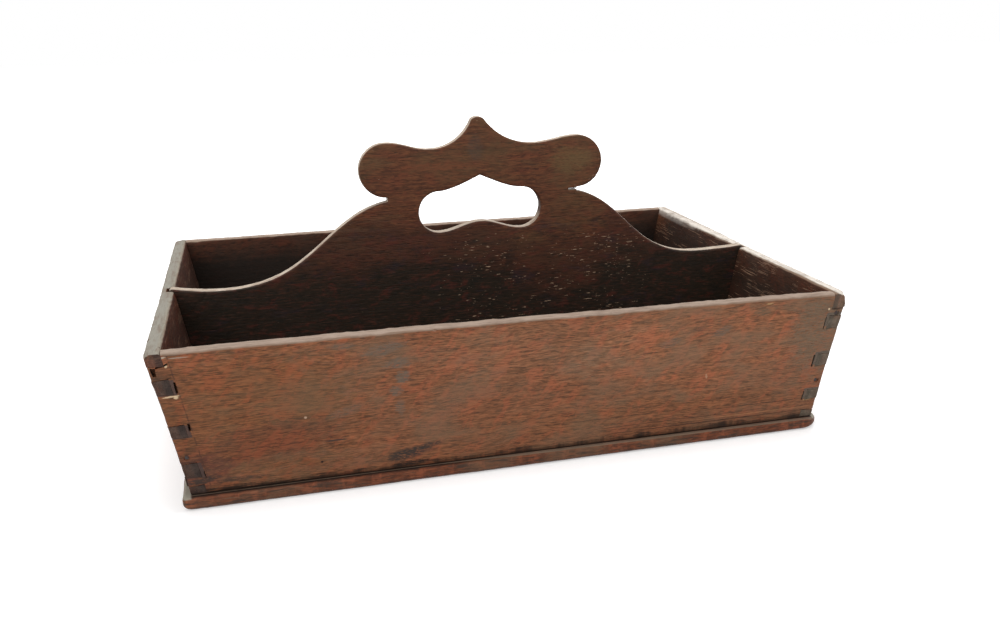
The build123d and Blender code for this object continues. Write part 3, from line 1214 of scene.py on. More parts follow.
@dataclass
class BaseBoard:
    """The board under the walls, with a rounded edge."""

    name: str = "base_board"
    corners: tuple[float, ...] = (3.0 * MM, 10.0 * MM, 3.0 * MM, 3.0 * MM)
    lower_round: float = 4.4 * MM
    upper_round: float = 2.2 * MM
    step: float = 1.8 * MM
    shares: tuple[float, ...] = (0.02, 0.1, 0.2, 0.3, 0.4, 0.5, 0.6, 0.7, 0.8, 0.9)
    wear: Wear = Wear(warp=0.25 * MM, arris=0.5 * MM, arris_reach=3 * MM, seed=0.41)
    chips: tuple[Chip, ...] = ()

    def profile(self) -> list[tuple[float, float]]:
        """The edge from the underside to the top, as distances in from the widest line, and heights."""
        steps = 7
        low = [(self.lower_round * (1 - math.sin(a)), self.lower_round * (1 - math.cos(a)))
               for a in np.linspace(0, math.pi / 2, steps)]
        top = SIZES.base_thickness
        high = [(self.upper_round * (1 - math.cos(a)), top - self.upper_round * (1 - math.sin(a)))
                for a in np.linspace(0, math.pi / 2, steps)]
        return [(low[0][0] + 2 * MM, 0.0), *low, *high, (high[-1][0] + 2 * MM, top)]

    def level(self, outline: np.ndarray, z: float) -> np.ndarray:
        """An outline as a ring at a height."""
        return np.column_stack([outline, np.full(len(outline), z)])

    def make(self, finish: bpy.types.Material, pockets: list[bpy.types.Object]) -> bpy.types.Object:
        """Builds, wears, cuts and dresses the board in the place of its node.

        Args:
            finish: Its material.
            pockets: The cutters that bare the heads of its nails.

        Returns:
            The piece.
        """
        half_x = SIZES.half(True, SIZES.base_thickness) + SIZES.base_margin
        half_y = SIZES.half(False, SIZES.base_thickness) + SIZES.base_margin
        corners = [(-half_x, -half_y), (half_x, -half_y), (half_x, half_y), (-half_x, half_y)]
        outline, _ = rounded_outline(corners, self.corners, self.step, (), 7)
        rings = [self.level(outline * share, 0.0) for share in self.shares]
        rings += [self.level(outline * (1 - inset / half_x, 1 - inset / half_y), z) for inset, z in self.profile()]
        rings += [self.level(outline * share, SIZES.base_thickness) for share in self.shares[::-1]]
        piece = rings_piece(self.name, rings)
        self.wear.apply(piece, lambda points: np.abs(points[:, 2] - SIZES.base_thickness / 2))
        points, _ = read_points(piece.data)
        points[:, 2] = np.clip(points[:, 2], 0.0, SIZES.base_thickness)
        write_points(piece.data, points)
        cut_away(piece, [chip.cutter() for chip in self.chips])
        cut_away(piece, pockets)
        return settle(piece, finish, self.name)


@dataclass
class Divider:
    """The board down the middle that rises into the handle."""

    name: str = "divider"
    edge_round: float = 1.3 * MM
    step: float = 1.1 * MM
    wear: Wear = Wear(warp=0.25 * MM, arris=0.55 * MM, arris_reach=1.6 * MM, arris_length=9 * MM, seed=0.83)

    def outlines(self, node: bpy.types.Object) -> list[np.ndarray]:
        """The closed outlines of the node's middle plane, outer one first.

        Args:
            node: The divider's node.

        Returns:
            For each outline its points along X and Z, evenly spaced, with the corners kept.
        """
        shape = bmesh.new()
        shape.from_mesh(node.data)
        bmesh.ops.remove_doubles(shape, verts=shape.verts, dist=0.002 * MM)
        middle = Vector((0, SIZES.divider_offset, 0))
        geometry = shape.verts[:] + shape.edges[:] + shape.faces[:]
        sliced = bmesh.ops.bisect_plane(shape, geom=geometry, plane_co=middle, plane_no=(0, 1, 0))
        edges = {e for e in sliced["geom_cut"] if isinstance(e, bmesh.types.BMEdge)}
        loops = []
        while edges:
            edge = edges.pop()
            first, current = edge.verts
            loop = [first.co.copy(), current.co.copy()]
            while current is not first:
                edge = next(e for e in current.link_edges if e in edges)
                edges.discard(edge)
                current = edge.other_vert(current)
                loop.append(current.co.copy())
            loops.append(np.array([(p.x, p.z) for p in loop[:-1]]))
        shape.free()
        loops.sort(key=lambda loop: np.ptp(loop[:, 0]), reverse=True)
        return [self.even(loop) for loop in loops]

    def even(self, loop: np.ndarray) -> np.ndarray:
        """Respaces an outline evenly between its corners.

        Args:
            loop: The outline's points.

        Returns:
            The new points, counter-clockwise.
        """
        ahead = np.roll(loop, -1, axis=0) - loop
        keep = np.linalg.norm(ahead, axis=1) > 1e-6
        loop = loop[keep]
        ahead = np.roll(loop, -1, axis=0) - loop
        behind = loop - np.roll(loop, 1, axis=0)
        area = np.sum(loop[:, 0] * np.roll(loop[:, 1], -1) - loop[:, 1] * np.roll(loop[:, 0], -1))
        cosine = np.sum(ahead * behind, axis=1) / np.linalg.norm(ahead, axis=1) / np.linalg.norm(behind, axis=1)
        sharp = np.flatnonzero(cosine < math.cos(math.radians(25)))
        points = []
        for i, start in enumerate(sharp):
            stop = sharp[(i + 1) % len(sharp)]
            count = (stop - start) % len(loop) or len(loop)
            stretch = loop[(start + np.arange(count + 1)) % len(loop)]
            run = np.concatenate([[0], np.cumsum(np.linalg.norm(np.diff(stretch, axis=0), axis=1))])
            at = np.linspace(0, run[-1], max(2, int(round(run[-1] / self.step)) + 1))[:-1]
            points.append(np.column_stack([np.interp(at, run, stretch[:, k]) for k in (0, 1)]))
        points = np.concatenate(points)
        return points if area > 0 else points[::-1]

    def normals(self, loop: np.ndarray, out: bool) -> np.ndarray:
        """The way out of the wood at each point of an outline, which is inwards round a hole."""
        ahead = np.roll(loop, -1, axis=0) - loop
        behind = loop - np.roll(loop, 1, axis=0)
        way = ahead / np.linalg.norm(ahead, axis=1)[:, None] + behind / np.linalg.norm(behind, axis=1)[:, None]
        way /= np.linalg.norm(way, axis=1)[:, None]
        turned = np.column_stack([way[:, 1], -way[:, 0]])
        return turned if out else -turned

    def make(self, node: bpy.types.Object, finish: bpy.types.Material) -> bpy.types.Object:
        """Builds, wears and dresses the divider in the place of its node.

        Args:
            node: The node, whose outline is read.
            finish: The material.

        Returns:
            The piece.
        """
        shape = bmesh.new()
        half = SIZES.divider_thickness / 2
        angles = np.linspace(0, math.pi / 2, 5)
        ends = {-1: [], 1: []}
        for index, loop in enumerate(self.outlines(node)):
            normals = self.normals(loop, index == 0)
            layers = [(self.edge_round * (1 - math.cos(a)), -half + self.edge_round * (1 - math.sin(a)))
                      for a in angles[::-1]]
            flat = half - self.edge_round
            layers += [(0.0, y) for y in np.linspace(-flat, flat, 5)[1:-1]]
            layers += [(inset, -y) for inset, y in layers[:5][::-1]]
            layers = [(layers[0][0] + 0.9 * MM, -half), *layers, (layers[-1][0] + 0.9 * MM, half)]
            rows = []
            for inset, y in layers:
                ring = loop - normals * inset
                rows.append([shape.verts.new((x, SIZES.divider_offset + y, z)) for x, z in ring])
            for lower, upper in zip(rows, rows[1:]):
                for i in range(len(loop)):
                    j = (i + 1) % len(loop)
                    shape.faces.new((lower[i], lower[j], upper[j], upper[i]))
            for side, row in ((-1, rows[0]), (1, rows[-1])):
                ends[side] += [shape.edges.get((row[i], row[(i + 1) % len(row)])) for i in range(len(row))]
        for side in (-1, 1):
            bmesh.ops.triangle_fill(shape, edges=ends[side], use_beauty=True, use_dissolve=False)
        bmesh.ops.recalc_face_normals(shape, faces=shape.faces)
        mesh = bpy.data.meshes.new(self.name)
        shape.to_mesh(mesh)
        shape.free()
        piece = bpy.data.objects.new(self.name, mesh)
        bpy.context.scene.collection.objects.link(piece)
        self.wear.apply(piece, self.arris_gap)
        return settle(piece, finish, self.name)

    def arris_gap(self, points: np.ndarray) -> np.ndarray:
        """How far each point lies from the two faces, which is small along the worn edges."""
        return SIZES.divider_thickness / 2 - np.abs(points[:, 1] - SIZES.divider_offset) + 0.6 * MM


@dataclass(frozen=True)
class IronFinish:
    """Dark forged iron with a little rust."""

    name: str = "forged_iron"

    def material(self) -> bpy.types.Material:
        """The finished material."""
        graph = Graph.material(self.name)
        at = graph.place()
        rust = graph.cloud(at * 0.9, 5, 0.6).ramp(0.42, 0.62)
        pits = graph.cloud(at * 2.6, 4, 0.6)
        colour = graph.blend(rust, linear(26, 23, 22), linear(56, 34, 26))
        colour = graph.blend(pits.ramp(0.6, 0.75) * 0.7, colour, linear(18, 15, 14))
        return graph.finish(colour, 0.5 + 0.3 * rust, pits, 0.15 * MM, 0.5)


@dataclass
class Studio:
    """The floor, the lights and the camera."""

    frame_width: int = 1000
    focal_pixels: float = 950.3
    eye: tuple[float, float, float] = (-139.2 * MM, -612.7 * MM, 247.2 * MM)
    yaw: float = 0.2537
    pitch: float = -0.3092
    roll: float = -0.0163

    def camera(self) -> None:
        """Sets the camera at the photograph's place."""
        data = bpy.data.cameras.new("camera")
        data.sensor_fit = "HORIZONTAL"
        data.sensor_width = 36.0
        data.lens = data.sensor_width * self.focal_pixels / self.frame_width
        data.clip_start, data.clip_end = 0.01, 50.0
        forward = Vector((math.sin(self.yaw) * math.cos(self.pitch), math.cos(self.yaw) * math.cos(self.pitch),
                          math.sin(self.pitch)))
        level = Vector((math.cos(self.yaw), -math.sin(self.yaw), 0.0))
        raised = level.cross(forward)
        right = level * math.cos(self.roll) + raised * math.sin(self.roll)
        up = raised * math.cos(self.roll) - level * math.sin(self.roll)
        camera = bpy.data.objects.new("camera", data)
        turn = Matrix((right, up, -forward)).transposed().to_4x4()
        camera.matrix_world = Matrix.Translation(self.eye) @ turn
        bpy.context.scene.collection.objects.link(camera)
        bpy.context.scene.camera = camera

    def lamp(self, name: str, place: tuple[float, float, float], size: float, power: float) -> None:
        """Hangs a soft lamp that faces the tray.

        Args:
            name: Its name.
            place: Where it is, in metres.
            size: How wide it is.
            power: Its strength, in watts.
        """
        data = bpy.data.lights.new(name, "AREA")
        data.shape = "DISK"
        data.size = size
        data.energy = power
        lamp = bpy.data.objects.new(name, data)
        lamp.location = place
        lamp.rotation_euler = (Vector((0, 0, 0.05)) - Vector(place)).to_track_quat("-Z", "Y").to_euler()
        bpy.context.scene.collection.objects.link(lamp)

    def world(self) -> None:
        """Even light all round, which the camera and mirrors see as white."""
        world = bpy.data.worlds.new("studio")
        bpy.context.scene.world = world
        graph = Graph(world)
        soft = graph.shader("ShaderNodeBackground", {"Color": (1, 1, 1, 1), "Strength": 0.55})
        white = graph.shader("ShaderNodeBackground", {"Color": (1, 1, 1, 1), "Strength": 1.0})
        mixed = graph.shader("ShaderNodeMixShader", {0: graph.seen(), 1: soft, 2: white})
        graph.add("ShaderNodeOutputWorld", {}, {0: mixed})

    def floor(self) -> None:
        """A pale floor that keeps the tray's shadow and looks white around it."""
        half = 6.0
        floor = add_piece("floor", np.array([(-half, -half, 0), (half, -half, 0), (half, half, 0), (-half, half, 0)]),
                          [(0, 1, 2, 3)])
        graph = Graph.material("pale_floor")
        paper = graph.shader("ShaderNodeBsdfDiffuse", {"Color": (0.86, 0.86, 0.86, 1)})
        strength = 0.3 + graph.vector_maths("LENGTH", graph.place()).ramp(500.0, 1100.0)
        glow = graph.shader("ShaderNodeEmission", {"Color": (1, 1, 1, 1), "Strength": strength})
        bright = graph.shader("ShaderNodeAddShader", {0: paper, 1: glow})
        mixed = graph.shader("ShaderNodeMixShader", {0: graph.seen(), 1: paper, 2: bright})
        graph.add("ShaderNodeOutputMaterial", {}, {0: mixed})
        floor.data.materials.append(graph.owner)

    def make(self) -> None:
        """Sets everything up."""
        self.camera()
        self.world()
        self.floor()
        self.lamp("high_lamp", (0.1, 0.35, 1.5), 1.2, 18.0)
        self.lamp("front_lamp", (-0.9, -1.3, 1.0), 1.4, 16.0)
        self.lamp("right_lamp", (1.3, -0.5, 1.1), 1.0, 6.0)
        scene = bpy.context.scene
        scene.view_settings.view_transform = "Standard"


# The pale rim top: its wear, and painted sheen of light skimming it.
RIM_WORN_AND_SHEEN = linear(146, 128, 114)
FOOT_DARK = linear(30, 24, 20)


@dataclass(frozen=True)
class WallFinish(OakFinish):
    """The oak of a wall: dark inside and darker still lower down, partly painted shade, with a rim pale from wear and
    painted sheen, and darkened at its foot.
    """

    lie: Lie = Lie.FRONT
    # Inner face: inside dims it to its own dark colour; deep is what it darkens to below the rim, partly dark grime and
    # partly painted shade.
    inside: Colour = (0.34, 0.33, 0.38)
    deep: Colour = linear(24, 20, 16)
    inner_dark_and_shade: float = 0.9
    scratched: float = 0.0
    rim_wear_and_sheen: Colour = RIM_WORN_AND_SHEEN
    rim_outer_highlight: Colour = RIM_WORN_AND_SHEEN
    end_grain: Colour = linear(70, 58, 52)
    end_grain_dark: Colour = linear(44, 36, 33)
    half_pin_drop: float = 7.5

    def material(self) -> bpy.types.Material:
        """The finished material."""
        graph = Graph.material(self.name)
        colour, relief, at = self.grain(graph)
        colour = self.age(graph, colour, at)
        u, v, w = at
        end = self.lie.is_end
        facing = self.lie.value[0 if end else 1]
        rim_mm = SIZES.rim_z * TO_MM
        half_rim = SIZES.half(end, SIZES.rim_z) * TO_MM
        slope = math.tan(SIZES.end_splay if end else SIZES.side_splay)
        outside = (half_rim - (rim_mm - v) * slope) - w * facing
        drop = rim_mm - v
        x, y, z = graph.normal().parts()
        along_normal = abs(x if not end else y)
        uneven = graph.cloud(graph.vector(u / 9 + self.seed, v / 4, w / 4), 4, 0.6)
        streak = graph.cloud(graph.vector(u / 30 + self.seed, v / 2.2, w / 2.2), 4, 0.6)
        within = outside.ramp(4.0, 6.0)
        # The inner face: dimmed to its dark colour, then darker with depth below the rim, partly dark grime and partly
        # painted shade.
        inner_dim_and_shade = graph.blend(1.0, colour, self.inside, "MULTIPLY")
        inner_dim_and_shade = graph.blend((drop + (uneven - 0.5) * 16).ramp(2.0, 22.0) * self.inner_dark_and_shade, inner_dim_and_shade, self.deep)
        crowd = graph.cloud(graph.vector(u / 24 + self.seed, v / 12, 0.0), 3, 0.6).ramp(0.6, 0.4, 0.12)
        scratch = self.flecks(graph, at, 22.0, 0.36, 0.57 + crowd) * self.scratched
        inner_dim_and_shade = graph.blend(scratch * 0.6, inner_dim_and_shade, linear(168, 134, 110))
        colour = graph.blend(within, colour, inner_dim_and_shade)
        patches = graph.cloud(graph.vector(u / 18 + self.seed, 0.0, 0.0), 5, 0.65).ramp(0.42, 0.62)
        ragged_foot = graph.cloud(graph.vector(u / 12 + self.seed, v / 0.7, w / 2), 4, 0.65) - 0.5
        # Darkened along the foot, where the wall meets the base.
        foot = (drop + ragged_foot * 8 + patches * 1.6).ramp(79.4, 81.8) * (1 - within)
        leftmost = u.ramp(-60.0, -150.0) if self.lie is Lie.FRONT else 0.5
        colour = graph.blend(foot * (0.5 + 0.4 * patches.most(leftmost)), colour, FOOT_DARK)
        grey = graph.blend((uneven * 1.6).ramp(0.4, 1.0), self.end_grain, self.end_grain_dark)
        half_pin = drop.ramp(self.half_pin_drop, self.half_pin_drop + 2.0) * 0.25 + 0.75
        colour = graph.blend(along_normal.ramp(0.55, 0.85) * 0.85 * half_pin, colour, grey)
        if not end:
            colour = self.joints(graph, colour, at, uneven, outside.ramp(1.5, 0.6))
        run = SIZES.run(end) * TO_MM
        inner_arris = outside.ramp(0.7 * run, 0.95 * run)
        top = (z - inner_arris * 0.35).ramp(0.1, 0.5) * drop.ramp(5.5, 3.5)
        # The rim top is pale from wear and from painted sheen; its outer part takes a painted highlight, near white on
        # the right end.
        worn = graph.blend((outside + (streak - 0.5) * 2.4).ramp(0.86 * run, 0.66 * run), self.rim_wear_and_sheen, self.rim_outer_highlight)
        worn = graph.blend((uneven * 0.6 + streak * 0.7).ramp(0.58, 0.84, 0.55), worn, linear(104, 84, 70))
        hair = graph.cloud(graph.vector(u / 9 + self.seed, v / 0.6, w / 0.6), 3, 0.6)
        worn = graph.blend(hair.ramp(0.5, 0.72, 0.5), worn, linear(92, 78, 66))
        edge_gap = abs(outside).least(abs(outside - run))
        worn = graph.blend((edge_gap + (streak - 0.5) * 3).ramp(1.1, 0.1, 0.6), worn, linear(108, 82, 64))
        colour = graph.blend(top, colour, worn)
        rough = self.rough + 0.12 * (uneven - 0.5) + 0.1 * within + 0.08 * top
        return graph.finish(colour, rough, relief, 0.22 * MM, self.shine)


    def joints(self, graph: Graph, colour: Wire, at: tuple[Wire, Wire, Wire], uneven: Wire, outer: Wire) -> Wire:
        """Spreads each pin's grey a little way in, and adds the line scribed for the sockets.

        Args:
            graph: Where the nodes go.
            colour: The board's colour.
            at: The place, as from grain.
            uneven: Soft noise.
            outer: A mask of the outer face.

        Returns:
            The colour with both.
        """
        u, v, _ = at
        reach = SIZES.half(True, v / TO_MM) * TO_MM - abs(u)
        ragged = reach + (uneven - 0.5) * 1.6
        for side, joint, grain in ((-1, LEFT_JOINT, linear(64, 50, 46)), (1, RIGHT_JOINT, linear(80, 71, 62))):
            here = (u * side).ramp(0.0, 1.0) * outer
            span = here * 0.0
            for pin in joint.pins:
                low = (SIZES.base_thickness + pin.low) * TO_MM
                high = (SIZES.base_thickness + pin.high) * TO_MM
                span = span.most(v.ramp(low - 0.2, low + 0.3) * v.ramp(high + 0.2, high - 0.3))
            patch = here * span * ragged.ramp(10.7, 10.2)
            colour = graph.blend(patch * 0.9, colour, grain)
        scribed = abs(ragged - 11.4).ramp(0.55, 0.15) * (u * -1).ramp(0.0, 1.0) * uneven.ramp(0.4, 0.55) * outer
        return graph.blend(scribed * 0.6, colour, linear(58, 38, 30))


@dataclass(frozen=True)
class DividerFinish(OakFinish):
    """The oak of the divider: brown high up and nearly black low down, partly painted shade in the compartments, with
    its upward edges pale from wear and painted highlight.
    """

    # Colours it darkens to lower down, partly painted shade.
    low: Colour = linear(27, 25, 19)
    red: Colour = linear(54, 30, 24)

    def material(self) -> bpy.types.Material:
        """The finished material."""
        graph = Graph.material(self.name)
        colour, relief, at = self.grain(graph)
        colour = self.age(graph, colour, at)
        u, v, w = at
        s = self.seed
        uneven = graph.cloud(graph.vector(u / 22 + s, v / 9, w / 9), 5, 0.62, 0.5)
        rise = v + (uneven - 0.5) * 46 + u.ramp(5.0, 40.0, 20.0) - u.ramp(74.0, 104.0, 20.0)
        # Darker going down into the compartments, red-brown then nearly black, partly the wood's dark colour and partly
        # painted shade.
        colour = graph.blend(rise.ramp(136.0, 114.0, 0.6), colour, self.red)
        colour = graph.blend(rise.ramp(108.0, 82.0, 0.84), colour, self.low)
        lower = v.ramp(136.0, 108.0)
        blotch = graph.cloud(graph.vector(u / 13 - s, v / 6, w / 8), 6, 0.68, 0.5)
        colour = graph.blend(blotch.ramp(0.53, 0.66, 0.6) * lower, colour, linear(24, 23, 18))
        colour = graph.blend(blotch.ramp(0.47, 0.34, 0.5) * lower, colour, linear(82, 38, 30))
        tint = graph.cloud(graph.vector(u / 20 + 5 * s, v / 11, w / 8), 5, 0.66)
        colour = graph.blend(tint.ramp(0.54, 0.68, 0.45) * lower, colour, linear(40, 31, 38))
        thread = graph.cloud(graph.vector(u / 7 + 3 * s, v / 0.8, w / 2), 3, 0.6)
        colour = graph.blend(thread.ramp(0.52, 0.68, 0.5) * lower, colour, linear(15, 13, 11))
        colour = graph.blend(thread.ramp(0.46, 0.32, 0.35) * lower, colour, linear(86, 52, 40))
        region = graph.cloud(graph.vector(u / 26 + 9 * s, v / 15, w / 30), 3, 0.6)
        keep = region.ramp(0.36, 0.5) * u.ramp(-70.0, 10.0) * u.ramp(150.0, 100.0) * v.ramp(122.0, 104.0)
        fleck = self.flecks(graph, at, 5.0, 0.7, 0.78 - 0.13 * keep)
        fleck = fleck.most(self.flecks(graph, at, 2.0, 0.9, 0.79 - 0.08 * keep) * v.ramp(112.0, 96.0))
        colour = graph.blend(fleck * (0.4 + 0.6 * thread), colour, linear(196, 166, 138))
        x, y, z = graph.normal().parts()
        edge = abs(y).ramp(0.55, 0.25)
        leftwards = x.ramp(-0.35, -0.8) * abs(u).ramp(44.0, 50.0)
        lit_edges = z.ramp(0.1, 0.6).most(leftwards) * v.ramp(60.0, 70.0)
        streak = graph.cloud(graph.vector(u / 8 + s, v / 8, w / 1.6), 4, 0.6)
        # Edges facing up or to the left are pale from wear and painted highlight; the other edges take painted shade.
        worn = graph.blend(streak.ramp(0.35, 0.7), linear(188, 174, 158), linear(136, 116, 98))
        colour = graph.blend(edge * lit_edges * 0.9, colour, worn)
        colour = graph.blend(edge * (1 - lit_edges) * 0.5, colour, linear(50, 34, 27))
        rough = self.rough + 0.14 * (uneven - 0.5)
        return graph.finish(colour, rough, relief, 0.2 * MM, self.shine)


@dataclass(frozen=True)
class BaseFinish(OakFinish):
    """The oak of the base board: brown along its edge, dark inside, dusty on the ledge and grey underneath."""

    def material(self) -> bpy.types.Material:
        """The finished material."""
        graph = Graph.material(self.name)
        colour, relief, at = self.grain(graph)
        colour = self.age(graph, colour, at)
        u, v, w = at
        s = self.seed
        x, y, z = graph.normal().parts()
        uneven = graph.cloud(graph.vector(u / 16 + s, v / 8, w / 4), 5, 0.6)
        foot = SIZES.base_thickness
        in_x = (SIZES.half(True, foot) - SIZES.run(True)) * TO_MM
        in_y = (SIZES.half(False, foot) - SIZES.run(False)) * TO_MM
        inside = abs(u).ramp(in_x + 0.5, in_x) * abs(v).ramp(in_y + 0.5, in_y) * z.ramp(0.5, 0.8)
        out_x = SIZES.half(True, foot) * TO_MM
        out_y = SIZES.half(False, foot) * TO_MM
        gap_y = abs(v) - out_y
        gap_x = abs(u) - out_x
        top = z.ramp(0.45, 0.75) * (1 - inside)
        dusty = gap_x.ramp(-1.0, 0.3) * top
        colour = graph.blend(dusty * (0.6 + 0.4 * uneven), colour, linear(150, 147, 134))
        ahead = gap_x.ramp(0.3, -1.0) * top
        rightwards = u.ramp(-60.0, 0.0)
        # A thin pale line on the front ledge: partly wear, partly a painted highlight on its arris.
        lip_wear_and_highlight = gap_y.ramp(1.0, 1.5) * gap_y.ramp(2.2 + 1.6 * rightwards, 1.7 + 1.6 * rightwards)
        black = ahead * gap_y.ramp(4.2, 2.8) * (1 - 0.6 * rightwards * gap_y.ramp(0.9, 1.4))
        colour = graph.blend(black * 0.92, colour, linear(20, 17, 15))
        colour = graph.blend(ahead * lip_wear_and_highlight * (0.35 + 0.5 * uneven), colour, linear(128, 112, 96))
        edge = z.ramp(0.75, 0.45) * z.ramp(-0.95, -0.6)
        blotch = graph.cloud(graph.vector(u / 14 + s, v / 14, w / 2.2), 5, 0.66, 0.4)
        colour = graph.blend(blotch.ramp(0.5, 0.66, 0.75) * edge, colour, linear(48, 42, 36))
        colour = graph.blend(blotch.ramp(0.42, 0.3, 0.5) * edge, colour, linear(112, 88, 70))
        # Painted shade: the rounded edge darkens towards the floor.
        colour = graph.blend((w + uneven * 2).ramp(3.6, 1.2, 0.6) * edge, colour, linear(34, 27, 23))
        colour = graph.blend(inside * 0.72, colour, linear(30, 24, 18))
        knife = self.flecks(graph, at, 16.0, 0.6, 0.64) * inside
        colour = graph.blend(knife * 0.5, colour, linear(112, 90, 70))
        under = z.ramp(-0.6, -0.9)
        colour = graph.blend(under * 0.55, colour, linear(84, 70, 58))
        return graph.finish(colour, self.rough + 0.15 * (uneven - 0.5), relief, 0.22 * MM, self.shine)


BLUE_GREY = linear(86, 78, 68)
STAIN = linear(48, 42, 38)

HANDLE_MARKS = (
    Mark(1, 168, 12, 18, linear(66, 56, 48), 0.5, 0, 0.6),
    Mark(66, 158, 34, 20, linear(98, 78, 50), 0.5, 0, 0.6),
    Mark(-70, 162, 40, 8, linear(90, 70, 48), 0.4, 0, 0.6),
    Mark(-20, 158, 60, 6, linear(112, 58, 38), 0.35, 0, 0.7),
    Mark(133, 93, 20, 14, linear(30, 28, 28), 0.5, 0, 0.6),
)

BLACK = linear(16, 13, 12)
PALE_CHIP = linear(196, 172, 140)
FRONT_MARKS = (
    Mark(-150, 50, 130, 90, (0.86, 0.84, 0.72), 0.9, 0, 0.8, "MULTIPLY"),
    Mark(-140, 34, 90, 26, (0.80, 0.72, 0.80), 0.8, 4, 0.8, "MULTIPLY"),
    Mark(110, 62, 170, 70, (1.16, 1.18, 1.18), 0.9, 0, 0.8, "MULTIPLY"),
    Mark(10, 72, 150, 40, (1.04, 1.16, 1.24), 0.8, 0, 0.8, "MULTIPLY"),
    Mark(60, 26, 240, 20, (0.96, 0.98, 0.94), 0.8, 0, 0.8, "MULTIPLY"),
    Mark(-178, 21, 36, 24, linear(70, 42, 38), 0.6, 0, 0.6),
    Mark(-196, 78, 22, 12, (0.66, 0.68, 0.7), 0.9, 0, 0.5, "MULTIPLY"),
    Mark(-192, 52, 18, 34, (0.82, 0.8, 0.78), 0.9, 0, 0.4, "MULTIPLY"),
    Mark(-184, 27, 18, 34, (0.76, 0.76, 0.8), 0.9, 0, 0.4, "MULTIPLY"),
    Mark(184, 64, 44, 60, linear(96, 82, 66), 0.75, 0, 0.6),
    Mark(160, 40, 60, 20, linear(100, 76, 58), 0.35, 0, 0.8),
    Mark(-181.5, 18.8, 10, 1.0, BLACK, 0.85, 6, 0.4),
    Mark(-189.5, 83.7, 1.8, 2.6, PALE_CHIP, 0.85, 0, 0.3),
    Mark(-189, 66.3, 9, 1.1, PALE_CHIP, 0.75, 3, 0.7),
    Mark(-186.6, 65.6, 2.6, 1.8, PALE_CHIP, 0.8, 0, 0.5),
    Mark(-192, 88.0, 7, 1.1, linear(168, 158, 142), 0.8, 5, 0.6),
    Mark(-183, 87.4, 10, 0.7, linear(168, 158, 142), 0.45, 0, 0.7),
    Mark(193, 78.0, 8, 0.8, BLACK, 0.8, 0, 0.4),
    Mark(188, 78.4, 1.5, 1.4, PALE_CHIP, 0.9, 0, 0.2),
    Mark(182, 19.5, 8, 1.2, linear(160, 132, 92), 0.7, 6, 0.6),
    Mark(148, 85.4, 5, 1.0, linear(176, 144, 100), 0.6, 3, 0.6),
    Mark(144, 80.5, 12, 6, linear(84, 76, 60), 0.5, 0, 0.5),
    Mark(120, 12.5, 150, 0.9, linear(52, 34, 26), 0.7, 0, 0.5),
    Mark(96, 16.6, 130, 0.8, linear(56, 38, 28), 0.55, 0, 0.5),
    Mark(142, 20.4, 90, 0.8, linear(56, 38, 28), 0.5, 0, 0.5),
    Mark(60, 23.0, 90, 0.6, linear(60, 40, 30), 0.45, 0, 0.5),
    Mark(140, 14.6, 96, 0.8, linear(152, 104, 70), 0.45, 0, 0.5),
    Mark(-73, 72, 15, 7, BLUE_GREY, 0.75, 6, 0.9),
    Mark(-70, 64, 9, 8, BLUE_GREY, 0.8, 0, 0.9),
    Mark(-74, 56, 8, 7, BLUE_GREY, 0.7, 0, 0.9),
    Mark(-79, 81, 24, 8, BLUE_GREY, 0.7, 10, 0.9),
    Mark(-72, 46, 6, 10, BLUE_GREY, 0.6, 0, 0.9),
    Mark(-102, 85, 14, 4, BLUE_GREY, 0.5, 0, 0.8),
    Mark(-68, 16.5, 30, 8, STAIN, 0.95, 8),
    Mark(-58, 20, 20, 4, STAIN, 0.8, 10),
    Mark(-102, 47, 22, 6, BLUE_GREY, 0.4, 15),
    Mark(119, 71, 14, 6, BLUE_GREY, 0.6, 18),
    Mark(86, 67, 16, 6, BLUE_GREY, 0.45, 10),
    Mark(104, 74, 9, 3.5, STAIN, 0.45, 5),
    Mark(-108, 30.3, 14, 1.0, STAIN, 0.95, 0, 0.35),
    Mark(-116, 18, 1.6, 1.6, linear(20, 15, 12), 0.95, 0, 0.1),
    Mark(-123, 46, 1.8, 1.6, linear(160, 132, 110), 0.9, 0, 0.1),
    Mark(-180, 15.5, 22, 5, STAIN, 0.85, 8),
    Mark(-158, 14, 30, 3.5, STAIN, 0.6, 0),
    Mark(-65, 10.5, 26, 3.5, linear(26, 21, 19), 0.9, 0),
    Mark(111, 43, 1.5, 3.5, linear(170, 140, 112), 0.5, 10, 0.2),
)


RIGHT_MARKS = (
    Mark(70, 72, 120, 60, (0.66, 0.7, 0.72), 0.9, 0, 0.6, "MULTIPLY"),
)

BACK_MARKS = (
    # Painted light: brightens the top of the inner face near the right end.
    Mark(140, 84, 70, 12, (1.5, 1.6, 1.6), 0.9, 0, 0.6, "MULTIPLY"),
    Mark(60, 40, 170, 60, (0.84, 0.86, 0.84), 0.8, 0, 0.8, "MULTIPLY"),
    Mark(-120, 30, 60, 14, STAIN, 0.5, 4, 0.7),
    Mark(-30, 62, 46, 20, BLUE_GREY, 0.5, 8, 0.8),
    Mark(90, 18, 40, 5, STAIN, 0.7, 3, 0.6),
    Mark(128, 70, 16, 2.2, BLACK, 0.7, 4, 0.5),
)

